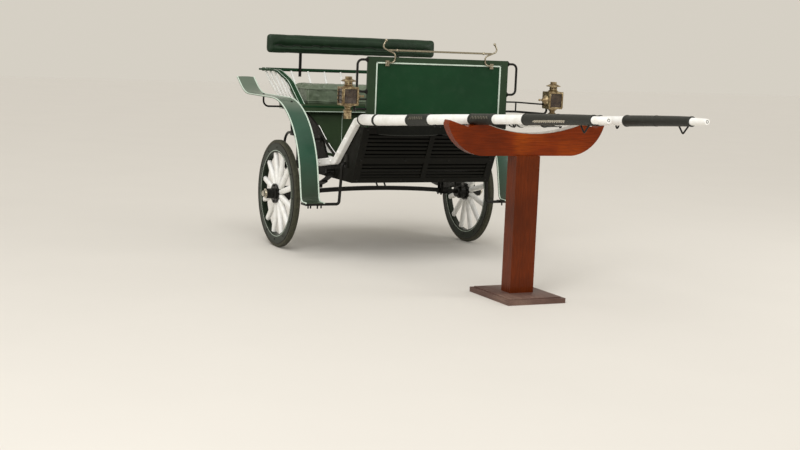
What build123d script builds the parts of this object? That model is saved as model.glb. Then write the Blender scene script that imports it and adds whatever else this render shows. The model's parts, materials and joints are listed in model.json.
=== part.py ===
"""Two-wheeled one-horse carriage resting with its shafts on a wooden stand.

Frame: X forward, Y to the carriage's left, Z up, floor at Z = 0.
Lengths are millimetres and angles are degrees. The origin is below the axle's middle
while the pieces are made, and moves to the middle of the whole outline at the end.
"""
import os
from math import cos, sin, sqrt

from build123d import *

# Wheels
WHEEL_DIAMETER = 720
TRACK = 1440
TYRE_WIDTH = 38
TYRE_DEPTH = 24
TYRE_SHOULDER = 7
FELLOE_WIDTH = 42
FELLOE_DEPTH = 60
FELLOE_CHAMFER = 5
SPOKE_COUNT = 12
SPOKE_ROOT = (28, 40)
SPOKE_WAIST = (36, 34)
SPOKE_TIP = (34, 26)
SPOKE_WAIST_RADIUS = 150
SPOKE_SINK = 8
SPOKE_ROUNDING_SHARE = 0.42
NAVE_RADIUS = 60
NAVE_HALF_WIDTH = 30
NAVE_BACK_RADIUS = 50
NAVE_INBOARD = 80
NAVE_OUTBOARD = 92
NAVE_CHAMFER = 8
FLANGE_RADIUS = 66
FLANGE_THICKNESS = 12
FLANGE_GAP = 1
BARREL_RADIUS = 34
CAP_BASE_THICKNESS = 3
CAP_RADIUS = 20
CAP_LENGTH = 24
CAP_CHAMFER = 6

# Axle
JOURNAL_RADIUS = 17
JOURNAL_CLEARANCE = 0.05
END_CLEARANCE = 1.5
COLLAR_RADIUS = 38
COLLAR_LENGTH = 14
NUT_RADIUS = 24
NUT_LENGTH = 14
NUT_CLEARANCE = 5
AXLE_SQUARE = 28
AXLE_RISE = 30

# Springs, whose ends keep their level above the floor whatever the wheel,
# and scroll irons with their foot as distance behind and above the axle line
SPRING_OUTSET = 27
SPRING_REACH = 420
SPRING_LEVEL = 465
LEAF_THICKNESS = 8
LEAF_WIDTH = 42
LEAF_SHARES = (1.0, 0.78, 0.56, 0.34)
SPRING_PAD_HEIGHT = 12
SPRING_PAD_LENGTH = 70
EYE_RADIUS = 14
PIN_RADIUS = 7
HANGER_CHEEK = 6
HANGER_RISE = 34
SCROLL_RADIUS = 9
SCROLL_BOW = 35
SCROLL_SHOULDER = 60
SCROLL_FOOT = (-285, 385)
SCROLL_BENDS = (40, 95)
SCROLL_PAD = (44, 32)

# Body frame, floor and sides
BODY_HALF_WIDTH = 495
SIDE_THICKNESS = 14
BODY_BOTTOM_Z = 505
SILL_WIDTH = 40
SILL_HEIGHT = 45
SILL_REAR_X = -280
SILL_FRONT_X = 720
CROSS_RAILS_X = (-240, -105, 320)
FLOOR_THICKNESS = 16
FLOOR_BOARDS = 6
FLOOR_BOARD_GAP = 4
REAR_BULGE = (-330, 790)
REAR_PANEL_THICKNESS = 12
SIDE_CREST_X = -160
SIDE_CREST_DROP = 34
SIDE_CURVES = ((-15, 866), (123, 806), (285, 712), (455, 642))
SIDE_SILL = (492, 636)
SIDE_FRONT_WIDTH = 60
SIDE_WINDOWS = (
    ((-50, 812), (5, 795), (118, 606), (50, 606)),
    ((175, 762), (282, 700), (385, 655), (360, 612), (290, 612)),
)
SIDE_SLAT_THICKNESS = 5
SIDE_SLATS_X = (-70, 400)
SIDE_SLATS_Z = ((742, 826), (660, 722), (600, 640))

# Toe board and dash
TOE_BOTTOM = (700, 505)
TOE_TOP = (862, 872)
TOE_THICKNESS = 22
TOE_RAIL = 34
TOE_UPPER_COUNT = 7
TOE_LOWER_COUNT = 5
TOE_SPLIT_SHARE = 0.41
TOE_GAP = 10
TOE_SLAT_INSET = 5
DASH_X = 880
DASH_TOP_Z = 1308
DASH_POST_WIDTH = 55
DASH_RAIL_HEIGHT = 32
DASH_FRAME_DEPTH = 24
DASH_ROUNDING = 7
DASH_PANEL_THICKNESS = 10
HANDLE_ROD_RADIUS = 7.5
HANDLE_REACH = 66
HANDLE_TOP_Z = 1288
HANDLE_BOTTOM_Z = 1092
HANDLE_BEND = 32
SPLINTER_BAR = (36, 36)
SPLINTER_BAR_INSET = 18

# Rein rail, with its scrolls as distance outward and height
REIN_BAR_Z = 1350
REIN_HALF_LENGTH = 362
REIN_BAR_RADIUS = 6
REIN_BALL_RADIUS = 9.5
REIN_BALL_INSET = 57
REIN_FINIAL_RADIUS = 9
REIN_SCROLL = ((20, 1410), (46, 1366), (-46, 1328), (-42, 1278), (6, 1270))
REIN_SCROLL_BEND = 22
REIN_SCROLL_RADIUS = 5
REIN_FOOT = (26, 34, 5)

# Lamps, with their turned parts as radius and height from the roof or the floor
LAMP_X = 1100
LAMP_OUTSET = 217
LAMP_WIDTH = 104
LAMP_DEPTH = 84
LAMP_BOTTOM_Z = 1018
LAMP_ROOF_Z = 1127
LAMP_POST = 11
LAMP_PLATE = 6
LAMP_EAVES = 4
LAMP_ROUNDING = 8
LAMP_GLASS_THICKNESS = 4
LAMP_CROWN = ((0, 0), (38, 0), (24, 12), (24, 30), (46, 33), (46, 37), (20, 49), (20, 62), (0, 62))
LAMP_TUBE = ((0, 0), (32, 0), (17, -16), (17, -24), (27, -30), (27, -38), (23, -42), (23, -80), (0, -80))
LAMP_CONE = (32, 8, 28)
LAMP_KNOB_ROD = (4.5, 18)
LAMP_KNOB_RADIUS = 7.5
LAMP_ARM_RADIUS = 7
LAMP_ARM_Z = 984
LAMP_ARM_OUTSET = 75
LAMP_ARM_BEND = 26
LAMP_BRACE_Z = 1045
LAMP_BRACE_BACK = 26
LAMP_BRACE_RADIUS = 5

# Seat, with the arm boards as x and z, and as x and distance out from the seat's end
SEAT_FRONT_X = -60
SEAT_REAR_X = -500
SEAT_OVERHANG = 50
SEAT_BOARD_Z = 938
SEAT_BOARD_THICKNESS = 20
SEAT_APRON_DEPTH = 34
SEAT_APRON_THICKNESS = 14
SEAT_PANEL_X = -104
SEAT_PANEL_THICKNESS = 14
CUSHION_HEIGHT = 126
CUSHION_ROUNDING = 38
CUSHION_END_MARGIN = 30
CUSHION_FRONT_MARGIN = 12
CUSHION_BACK_MARGIN = 42
RAIL_RADIUS = 12
RAIL_Z = 1172
BACK_RAIL_X = -560
RAIL_FLARE = 112
ARM_PATH = ((-572, 1172), (-350, 1172), (-205, 1105), (-62, 940))
ARM_BENDS = (170, 150)
ARM_PLAN = ((-590, 116), (-350, 70), (-200, 34), (-40, -10))
ARM_WIDTH = 42
ARM_THICKNESS = 13
BACK_SPINDLES = 10
BACK_SPINDLE_PITCH = 127
BACK_SPINDLE_INSET = 14
SPINDLE_RADIUS = 8
SPINDLE_SINK = 2
SPINDLE_BOW = 14
SIDE_SPINDLE_COUNT = 5
SIDE_SPINDLE_FEET = (-462, 64)
SIDE_SPINDLE_TOPS = (0.08, 0.105)

# Lazyback
LAZYBACK_HALF_LENGTH = 658
LAZYBACK_BOTTOM_Z = 1284
LAZYBACK_TOP_Z = 1425
LAZYBACK_SEAM_Z = 1343
LAZYBACK_SEAM_OVERLAP = 6
LAZYBACK_DEPTH = 74
LAZYBACK_ROUNDING_SHARE = 0.45
STAY_WIDTH = 18
STAY_THICKNESS = 12
STAY_FOOT_Z = 1126
STAY_TOP_MARGIN = 40

# Fenders and steps, with the stays as x, z, distance of the foot from the body and bend
FENDER_WIDTH = 132
FENDER_THICKNESS = 5
FENDER_CROWN = 3
FENDER_BEAD = 4.5
FENDER_OUTLINE = ((656, 372), (572, 372), (436, 1000), (-560, 1000), (-730, 1108))
FENDER_RADII = (40, 555, 340)
STEP_ROD_RADIUS = 9.5
STEP_X = 608
STEP_TOP_Z = 620
STEP_OUTSET = 28
STEP_LEAN = 14
STEP_BEND = 20
STEP_END_MARGIN = 20
STEP_TREAD_LENGTH = 60
STEP_TREAD_HEIGHT = 12
FENDER_STAY_RADIUS = 6.5
FENDER_STAY_INSET = 20
FENDER_STAYS = ((150, 740, 0, 80), (-400, 921, SEAT_OVERHANG, 40))

# Shafts, as x, distance in from the line of the rear ends, z and radius; staples as x, length and drop
SHAFT_OUTSET = 36
SHAFT_SECTIONS = (
    (925, 0, 922, 33),
    (1110, 32, 932, 33),
    (1400, 69, 953, 31),
    (1750, 129, 982, 29),
    (2040, 175, 1004, 27),
    (2320, 204, 1023, 26),
    (2700, 228, 1049, 24),
    (3100, 241, 1074, 20),
    (3232, 243, 1082, 15),
)
HEEL_POINTS = ((215, 588), (492, 628), (800, 900), (925, 922))
HEEL_BENDS = (50, 30)
HEEL_WIDTH = 40
HEEL_DEPTH = 48
HEEL_ROUNDING = 9
WRAP_THICKNESS = 3.5
WRAP_SPANS = ((1070, 1088), (1433, 1632), (2010, 2226))
SLEEVE_SPAN = (2510, 3110)
SLEEVE_THICKNESS = 5
STAPLE_RADIUS = 4.5
STAPLE_BEND = 8
STAPLES = ((1650, 54, 44), (2380, 60, 44), (2978, 115, 60))

# Stand
STAND_X = 2040
STAND_Y = -35
BASE_LENGTH = 450
BASE_WIDTH = 365
BASE_THICKNESS = 28
POST_WIDTH = 150
POST_DEPTH = 100
CRADLE_DEPTH = 64
CRADLE_HALF_WIDTH = 500
CRADLE_BOTTOM_Z = 806
CRADLE_FOOT_HALF_WIDTH = 290
CRADLE_BULGE = (130, 52)
CRADLE_HORN_Z = 1000
CRADLE_HORN_SIZE = (8, 22)
CRADLE_SHOULDER_Z = 964
CRADLE_SHOULDER_OUTSET = 60
CRADLE_INNER_Z = 986
CRADLE_INNER_INSET = 40
CRADLE_MIDDLE_Z = 930
CRADLE_LIFT = 30

# Worked out from the above
WHEEL_RADIUS = WHEEL_DIAMETER / 2
AXLE_Z = WHEEL_RADIUS
WHEEL_Y = TRACK / 2
FELLOE_RADIUS = WHEEL_RADIUS - TYRE_DEPTH
FELLOE_INNER = FELLOE_RADIUS - FELLOE_DEPTH
BORE_RADIUS = JOURNAL_RADIUS + JOURNAL_CLEARANCE
FLANGE_BACK = SPOKE_ROOT[1] / 2 + FLANGE_GAP
FLANGE_FRONT = FLANGE_BACK + FLANGE_THICKNESS
NOSE_FLOOR = NAVE_OUTBOARD - NUT_LENGTH - NUT_CLEARANCE
COLLAR_OUTER = NAVE_INBOARD + END_CLEARANCE
COLLAR_INNER = COLLAR_OUTER + COLLAR_LENGTH
AXLE_HALF = WHEEL_Y - COLLAR_INNER
SPRING_Y = BODY_HALF_WIDTH + SPRING_OUTSET
LAMP_Y = BODY_HALF_WIDTH + LAMP_OUTSET
SPRING_RISE = SPRING_LEVEL - AXLE_Z
SPRING_RADIUS = (SPRING_REACH ** 2 + SPRING_RISE ** 2) / (2 * SPRING_RISE)
SIDE_INNER = BODY_HALF_WIDTH - SIDE_THICKNESS
SILL_TOP_Z = BODY_BOTTOM_Z + SILL_HEIGHT
FLOOR_Z = SILL_TOP_Z + FLOOR_THICKNESS
DASH_BOTTOM_Z = TOE_TOP[1]
DASH_FRONT = DASH_X + DASH_FRAME_DEPTH / 2
DASH_BACK = DASH_X - DASH_FRAME_DEPTH / 2
SEAT_HALF_WIDTH = BODY_HALF_WIDTH + SEAT_OVERHANG
SEAT_TOP_Z = SEAT_BOARD_Z + SEAT_BOARD_THICKNESS
RAIL_HALF_LENGTH = SEAT_HALF_WIDTH + RAIL_FLARE
LAZYBACK_STAY_Y = 3 * BACK_SPINDLE_PITCH
HEEL_Y = BODY_HALF_WIDTH + HEEL_WIDTH / 2
SHAFT_REAR_Y = BODY_HALF_WIDTH + SHAFT_OUTSET
SHAFT_RINGS = [(x, SHAFT_REAR_Y - inset, z, radius) for x, inset, z, radius in SHAFT_SECTIONS]
FENDER_OUTER_Y = WHEEL_Y + FENDER_WIDTH / 2
FENDER_INNER_Y = WHEEL_Y - FENDER_WIDTH / 2
STEP_ROD_Y = BODY_HALF_WIDTH + STEP_OUTSET

SIDES = (("right", -1), ("left", 1))
NODES = {}


def add(name, *shapes):
    """Keep one node, made of one solid or of several that don't touch."""
    NODES[name] = shapes[0] if len(shapes) == 1 else Compound(children=list(shapes))


def block(x0, x1, y0, y1, z0, z1):
    """A box between two corners."""
    centre = ((x0 + x1) / 2, (y0 + y1) / 2, (z0 + z1) / 2)
    return Pos(*centre) * Box(abs(x1 - x0), abs(y1 - y0), abs(z1 - z0))


def rod(radius, bends, *points):
    """A round bar along straight runs joined by arcs."""
    path = Line(*points) if len(points) == 2 else FilletPolyline(*points, radius=bends)
    return sweep(Plane(origin=path @ 0, z_dir=path % 0) * Circle(radius), path=path)


def bowed_rod(radius, foot, top, bow):
    """A round bar that bows sideways between its two ends."""
    middle = [(a + b) / 2 for a, b in zip(foot, top)]
    path = ThreePointArc(foot, (middle[0], middle[1] + bow, middle[2]), top)
    return sweep(Plane(origin=path @ 0, z_dir=path % 0) * Circle(radius), path=path)


def plate_xz(edges, y0, y1):
    """A plate whose outline lies in X and Z, from one Y to another."""
    return extrude(Pos(0, y0, 0) * make_face(edges), amount=y1 - y0, dir=(0, 1, 0))


def xz(*points):
    """Points in the plane Y = 0."""
    return [(x, 0, z) for x, z in points]


def turned(y_sign, y_origin, profile):
    """Turn a profile of (radius, distance outward) points round the axle line."""
    outline = Polyline(*[(r, y_origin + y_sign * d, 0) for r, d in profile], close=True)
    return Pos(0, 0, AXLE_Z) * revolve(make_face(outline), Axis.Y, 360)


def upright(profile, z):
    """Turn a profile of (radius, height) points round the Z axis, from a height."""
    return revolve(make_face(Polyline(*xz(*[(r, z + h) for r, h in profile]), close=True)), Axis.Z, 360)


def largest(shape):
    """The largest solid of a cut shape."""
    return shape.solids().sort_by(SortBy.VOLUME)[-1]


def between(table, x):
    """Straight-line value at x in a table of x and value."""
    for (x0, v0), (x1, v1) in zip(table, table[1:]):
        if x <= x1:
            break
    return v0 + (v1 - v0) * (x - x0) / (x1 - x0)


def make_wheel(side, sign):
    """Tyre, felloe, spokes, nave and cap of one wheel."""
    centre = sign * WHEEL_Y
    tread = TYRE_WIDTH / 2
    shoulder = WHEEL_RADIUS - TYRE_SHOULDER
    half = FELLOE_WIDTH / 2
    flat = half - FELLOE_CHAMFER
    add(f"tyre_{side}", turned(sign, centre, (
        (FELLOE_RADIUS, -tread), (shoulder, -tread), (WHEEL_RADIUS, TYRE_SHOULDER - tread),
        (WHEEL_RADIUS, tread - TYRE_SHOULDER), (shoulder, tread), (FELLOE_RADIUS, tread))))
    add(f"felloe_{side}", turned(sign, centre, (
        (FELLOE_INNER, -flat), (FELLOE_INNER + FELLOE_CHAMFER, -half), (FELLOE_RADIUS, -half),
        (FELLOE_RADIUS, half), (FELLOE_INNER + FELLOE_CHAMFER, half), (FELLOE_INNER, flat))))
    pocket = NUT_RADIUS + NUT_CLEARANCE
    pocket_floor = NOSE_FLOOR - NUT_CLEARANCE
    add(f"nave_{side}", turned(sign, centre, (
        (BORE_RADIUS, -NAVE_INBOARD), (NAVE_BACK_RADIUS - NAVE_CHAMFER, -NAVE_INBOARD),
        (NAVE_BACK_RADIUS, NAVE_CHAMFER - NAVE_INBOARD), (NAVE_BACK_RADIUS, -NAVE_HALF_WIDTH),
        (NAVE_RADIUS, -NAVE_HALF_WIDTH), (NAVE_RADIUS, FLANGE_BACK), (FLANGE_RADIUS, FLANGE_BACK),
        (FLANGE_RADIUS, FLANGE_FRONT), (BARREL_RADIUS + NAVE_CHAMFER, FLANGE_FRONT),
        (BARREL_RADIUS, FLANGE_FRONT + NAVE_CHAMFER), (BARREL_RADIUS, NAVE_OUTBOARD),
        (pocket, NAVE_OUTBOARD), (pocket, pocket_floor), (BORE_RADIUS, pocket_floor))))
    cap_base = NAVE_OUTBOARD + CAP_BASE_THICKNESS
    cap_end = NAVE_OUTBOARD + CAP_LENGTH
    add(f"hub_cap_{side}", turned(sign, centre, (
        (0, NAVE_OUTBOARD), (BARREL_RADIUS, NAVE_OUTBOARD), (BARREL_RADIUS, cap_base),
        (CAP_RADIUS, cap_base), (CAP_RADIUS, cap_end - CAP_CHAMFER),
        (CAP_RADIUS - CAP_CHAMFER, cap_end), (0, cap_end))))
    sections = (
        (NAVE_RADIUS - SPOKE_SINK, SPOKE_ROOT),
        (SPOKE_WAIST_RADIUS, SPOKE_WAIST),
        (FELLOE_INNER + SPOKE_SINK, SPOKE_TIP),
    )
    spoke = loft([Pos(0, 0, r) * RectangleRounded(w, d, min(w, d) * SPOKE_ROUNDING_SHARE)
                  for r, (w, d) in sections])
    ring = Cylinder(FELLOE_INNER, 2 * NAVE_RADIUS) - Cylinder(NAVE_RADIUS, 2 * NAVE_RADIUS)
    spoke = spoke & (Rot(90, 0, 0) * ring)
    hub = Pos(0, centre, AXLE_Z)
    step = 360 / SPOKE_COUNT
    add(f"spokes_{side}", *[hub * Rot(0, step * (i + 0.5), 0) * spoke for i in range(SPOKE_COUNT)])


def axle_top(y):
    """Height of the axle's top face at a distance from the middle."""
    radius = (AXLE_HALF ** 2 + AXLE_RISE ** 2) / (2 * AXLE_RISE)
    return AXLE_Z + AXLE_SQUARE / 2 + AXLE_RISE - radius + sqrt(radius ** 2 - y ** 2)


def spring_seat_z():
    """Height of the flat pads on the axle that carry the springs."""
    return axle_top(SPRING_Y) + SPRING_PAD_HEIGHT


def make_axle():
    """A square bar, arched a little, with spring pads and turned ends."""
    half = AXLE_SQUARE / 2
    arcs = [
        ThreePointArc((0, -AXLE_HALF, z), (0, 0, z + AXLE_RISE), (0, AXLE_HALF, z))
        for z in (AXLE_Z - half, AXLE_Z + half)
    ]
    ends = [Line(arcs[0] @ t, arcs[1] @ t) for t in (0, 1)]
    axle = extrude(make_face(arcs + ends), amount=half, dir=(1, 0, 0), both=True)
    for _, sign in SIDES:
        axle += turned(sign, sign * WHEEL_Y, (
            (0, -COLLAR_INNER), (COLLAR_RADIUS, -COLLAR_INNER), (COLLAR_RADIUS, -COLLAR_OUTER),
            (JOURNAL_RADIUS, -COLLAR_OUTER), (JOURNAL_RADIUS, NOSE_FLOOR),
            (NUT_RADIUS, NOSE_FLOOR), (NUT_RADIUS, NOSE_FLOOR + NUT_LENGTH), (0, NOSE_FLOOR + NUT_LENGTH)))
        y = sign * SPRING_Y
        reach = SPRING_PAD_LENGTH / 2
        axle += block(-reach, reach, y - LEAF_WIDTH / 2, y + LEAF_WIDTH / 2, AXLE_Z, spring_seat_z())
    add("axle", axle)


def spring_point(radius, angle):
    """A point on a leaf, by its radius about the spring's centre of curvature."""
    centre_z = spring_seat_z() + len(LEAF_SHARES) * LEAF_THICKNESS + SPRING_RADIUS
    return radius * sin(angle), 0, centre_z - radius * cos(angle)


def make_springs():
    """Leaf springs with eyes, the front hangers and the scroll irons behind."""
    reach_angle = SPRING_REACH / SPRING_RADIUS
    eye_x, _, eye_z = spring_point(SPRING_RADIUS - EYE_RADIUS + LEAF_THICKNESS, reach_angle)
    top = eye_z + HANGER_RISE
    for side, sign in SIDES:
        y = sign * SPRING_Y
        low_y = y - LEAF_WIDTH / 2
        high_y = y + LEAF_WIDTH / 2
        spring = None
        for i, share in enumerate(LEAF_SHARES):
            angle = reach_angle * share
            arcs = [
                ThreePointArc(*[spring_point(radius, a) for a in (-angle, 0, angle)])
                for radius in (SPRING_RADIUS + i * LEAF_THICKNESS, SPRING_RADIUS + (i + 1) * LEAF_THICKNESS)
            ]
            leaf = plate_xz(arcs + [Line(arcs[0] @ t, arcs[1] @ t) for t in (0, 1)], low_y, high_y)
            spring = leaf if spring is None else spring + leaf
        hangers = []
        body_y, outer_y = sorted((sign * BODY_HALF_WIDTH, sign * (SPRING_Y + LEAF_WIDTH / 2 + HANGER_CHEEK)))
        for end in (-1, 1):
            eye = Pos(end * eye_x, y, eye_z) * Rot(90, 0, 0)
            spring += eye * Cylinder(EYE_RADIUS, LEAF_WIDTH)
            spring -= eye * Cylinder(PIN_RADIUS, 2 * LEAF_WIDTH)
            hanger = eye * Cylinder(PIN_RADIUS, LEAF_WIDTH + 2 * HANGER_CHEEK)
            rear_x = end * eye_x - EYE_RADIUS
            front_x = end * eye_x + EYE_RADIUS
            for face in (low_y - HANGER_CHEEK, high_y):
                hanger += block(rear_x, front_x, face, face + HANGER_CHEEK, eye_z - EYE_RADIUS, top)
            if end > 0:
                hanger += block(rear_x, front_x, body_y, outer_y, top - EYE_RADIUS, top)
            else:
                hanger += block(rear_x, front_x, low_y - HANGER_CHEEK, high_y + HANGER_CHEEK,
                                top - EYE_RADIUS, top)
                foot_x, foot_rise = SCROLL_FOOT
                foot_z = AXLE_Z + foot_rise
                bow_x = -eye_x - SCROLL_BOW
                hanger += rod(SCROLL_RADIUS, SCROLL_BENDS, (-eye_x, y, top - EYE_RADIUS / 2),
                              (bow_x, y, top + SCROLL_SHOULDER), (bow_x, y, foot_z), (foot_x, y, foot_z))
                pad_length, pad_height = SCROLL_PAD
                pad_y = sorted((sign * BODY_HALF_WIDTH, y + sign * SCROLL_RADIUS))
                hanger += block(foot_x - pad_length / 2, foot_x + pad_length / 2, *pad_y,
                                foot_z - pad_height / 2, foot_z + pad_height / 2)
            hangers.append(hanger)
        add(f"spring_{side}", spring)
        add(f"spring_hangers_{side}", *hangers)


def rear_arc(shift):
    """The curved rear edge of the body, moved forward by a distance."""
    rear_x, bulge_z = REAR_BULGE
    return ThreePointArc(*xz((SEAT_REAR_X + shift, SEAT_BOARD_Z), (rear_x + shift, bulge_z),
                             (SILL_REAR_X + shift, BODY_BOTTOM_Z)))


def make_frame():
    """Sills, cross rails, the curved rear panel and the floor laid on them."""
    frame = None
    for _, sign in SIDES:
        y0, y1 = sorted((sign * SIDE_INNER, sign * (SIDE_INNER - SILL_WIDTH)))
        sill = block(SILL_REAR_X, SILL_FRONT_X, y0, y1, BODY_BOTTOM_Z, SILL_TOP_Z)
        frame = sill if frame is None else frame + sill
    for x in CROSS_RAILS_X:
        frame += block(x - SILL_WIDTH / 2, x + SILL_WIDTH / 2, -SIDE_INNER, SIDE_INNER,
                       BODY_BOTTOM_Z, SILL_TOP_Z)
    toe = toe_strip(-1, 2, -TOE_THICKNESS * 3, TOE_THICKNESS, -SIDE_INNER, SIDE_INNER)
    frame -= toe
    add("body_frame", frame)
    arcs = [rear_arc(0), rear_arc(REAR_PANEL_THICKNESS)]
    ends = [Line(arcs[0] @ t, arcs[1] @ t) for t in (0, 1)]
    add("rear_panel", largest(plate_xz(arcs + ends, -SIDE_INNER, SIDE_INNER) - frame))
    pitch = (SILL_FRONT_X - SEAT_PANEL_X) / FLOOR_BOARDS
    boards = []
    for i in range(FLOOR_BOARDS):
        x0 = SEAT_PANEL_X + i * pitch
        board = block(x0, x0 + pitch - FLOOR_BOARD_GAP, -SIDE_INNER, SIDE_INNER, SILL_TOP_Z, FLOOR_Z)
        boards.append(board - toe)
    add("floor_boards", *boards)


def make_body_side(side, sign):
    """One curved side of the body with its two windows; returns the pale boards behind them."""
    y0, y1 = sorted((sign * SIDE_INNER, sign * BODY_HALF_WIDTH))
    crest_high = (SIDE_CREST_X, SEAT_BOARD_Z)
    crest_low = (SIDE_CREST_X, SEAT_BOARD_Z - SIDE_CREST_DROP)
    upper, middle, lower, foot = SIDE_CURVES
    outline = [
        Polyline(*xz((SILL_REAR_X, BODY_BOTTOM_Z), TOE_BOTTOM, TOE_TOP,
                     (TOE_TOP[0] - SIDE_FRONT_WIDTH, TOE_TOP[1]), SIDE_SILL, foot)),
        ThreePointArc(*xz(foot, lower, middle)),
        ThreePointArc(*xz(middle, upper, crest_low)),
        Polyline(*xz(crest_low, crest_high, (SEAT_REAR_X, SEAT_BOARD_Z))),
        rear_arc(0),
    ]
    panel = plate_xz(outline, y0, y1)
    for corners in SIDE_WINDOWS:
        panel -= plate_xz(Polyline(*xz(*corners), close=True), y0 - SIDE_THICKNESS, y1 + SIDE_THICKNESS)
    add(f"body_side_{side}", panel)
    inner0, inner1 = sorted((sign * SIDE_INNER, sign * (SIDE_INNER - SIDE_SLAT_THICKNESS)))
    lining = plate_xz(outline, inner0, inner1)
    return [largest(lining & block(*SIDE_SLATS_X, inner0, inner1, low, high)) for low, high in SIDE_SLATS_Z]


def toe_point(share, depth):
    """A point on the sloping toe board, by its share of the height and its depth inward."""
    run = TOE_TOP[0] - TOE_BOTTOM[0]
    rise = TOE_TOP[1] - TOE_BOTTOM[1]
    length = sqrt(run ** 2 + rise ** 2)
    return (TOE_BOTTOM[0] + share * run - depth * rise / length,
            TOE_BOTTOM[1] + share * rise + depth * run / length)


def toe_strip(low, high, depth0, depth1, y0, y1):
    """A strip of the toe board between two shares of its height."""
    corners = [toe_point(share, depth)
               for share, depth in ((low, depth0), (high, depth0), (high, depth1), (low, depth1))]
    return plate_xz(Polyline(*xz(*corners), close=True), y0, y1)


def make_toe_board():
    """A framed toe board with two fields of slats and a middle post."""
    rise = sqrt((TOE_TOP[0] - TOE_BOTTOM[0]) ** 2 + (TOE_TOP[1] - TOE_BOTTOM[1]) ** 2)
    rail = TOE_RAIL / rise
    gap = TOE_GAP / rise
    inner = SIDE_INNER - TOE_RAIL
    fields = (
        (rail, TOE_SPLIT_SHARE - rail / 2, TOE_LOWER_COUNT),
        (TOE_SPLIT_SHARE + rail / 2, 1 - rail, TOE_UPPER_COUNT),
    )
    frame = toe_strip(0, 1, 0, TOE_THICKNESS, -SIDE_INNER, SIDE_INNER)
    slats = []
    for low, high, count in fields:
        for y0, y1 in ((-inner, -TOE_RAIL / 2), (TOE_RAIL / 2, inner)):
            frame -= toe_strip(low, high, -1, TOE_THICKNESS + 1, y0, y1)
            pitch = (high - low + gap) / count
            for i in range(count):
                start = low + i * pitch
                slats.append(toe_strip(start, start + pitch - gap, TOE_SLAT_INSET,
                                       TOE_THICKNESS - TOE_SLAT_INSET, y0, y1))
    add("toe_frame", frame)
    add("toe_slats", *slats)


def make_dash():
    """Framed dash panel, its two hand loops and the rein rail."""
    inner = BODY_HALF_WIDTH - DASH_POST_WIDTH
    low_z = DASH_BOTTOM_Z + DASH_RAIL_HEIGHT
    high_z = DASH_TOP_Z - DASH_RAIL_HEIGHT
    frame = block(DASH_BACK, DASH_FRONT, -BODY_HALF_WIDTH, BODY_HALF_WIDTH, DASH_BOTTOM_Z, DASH_TOP_Z)
    frame = fillet(frame.edges().filter_by(Axis.Z), DASH_ROUNDING)
    frame -= block(DASH_BACK - 1, DASH_FRONT + 1, -inner, inner, low_z, high_z)
    add("dash_frame", frame)
    half = DASH_PANEL_THICKNESS / 2
    add("dash_panel", block(DASH_X - half, DASH_X + half, -inner, inner, low_z, high_z))
    depth, height = SPLINTER_BAR
    bar_y = BODY_HALF_WIDTH - SPLINTER_BAR_INSET
    add("splinter_bar", block(DASH_FRONT, DASH_FRONT + depth, -bar_y, bar_y,
                              DASH_BOTTOM_Z, DASH_BOTTOM_Z + height))
    for side, sign in SIDES:
        edge = sign * BODY_HALF_WIDTH
        out = sign * (BODY_HALF_WIDTH + HANDLE_REACH)
        add(f"dash_handle_{side}", rod(
            HANDLE_ROD_RADIUS, HANDLE_BEND, (DASH_X, edge, HANDLE_TOP_Z), (DASH_X, out, HANDLE_TOP_Z),
            (DASH_X, out, HANDLE_BOTTOM_Z), (DASH_X, edge, HANDLE_BOTTOM_Z)))
    width, height, plate = REIN_FOOT
    x = DASH_FRONT + REIN_BAR_RADIUS
    rail = rod(REIN_BAR_RADIUS, 0, (x, -REIN_HALF_LENGTH, REIN_BAR_Z), (x, REIN_HALF_LENGTH, REIN_BAR_Z))
    for _, sign in SIDES:
        points = [(x, sign * (REIN_HALF_LENGTH + out), z) for out, z in REIN_SCROLL]
        rail += rod(REIN_SCROLL_RADIUS, REIN_SCROLL_BEND, *points)
        rail += Pos(x, sign * (REIN_HALF_LENGTH - REIN_BALL_INSET), REIN_BAR_Z) * Sphere(REIN_BALL_RADIUS)
        rail += Pos(*points[0]) * Sphere(REIN_FINIAL_RADIUS)
        _, foot_y, foot_z = points[-1]
        rail += block(DASH_FRONT, DASH_FRONT + plate, foot_y - width / 2, foot_y + width / 2,
                      foot_z - height / 2, foot_z + height / 2)
    add("rein_rail", rail - NODES["dash_frame"])


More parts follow.
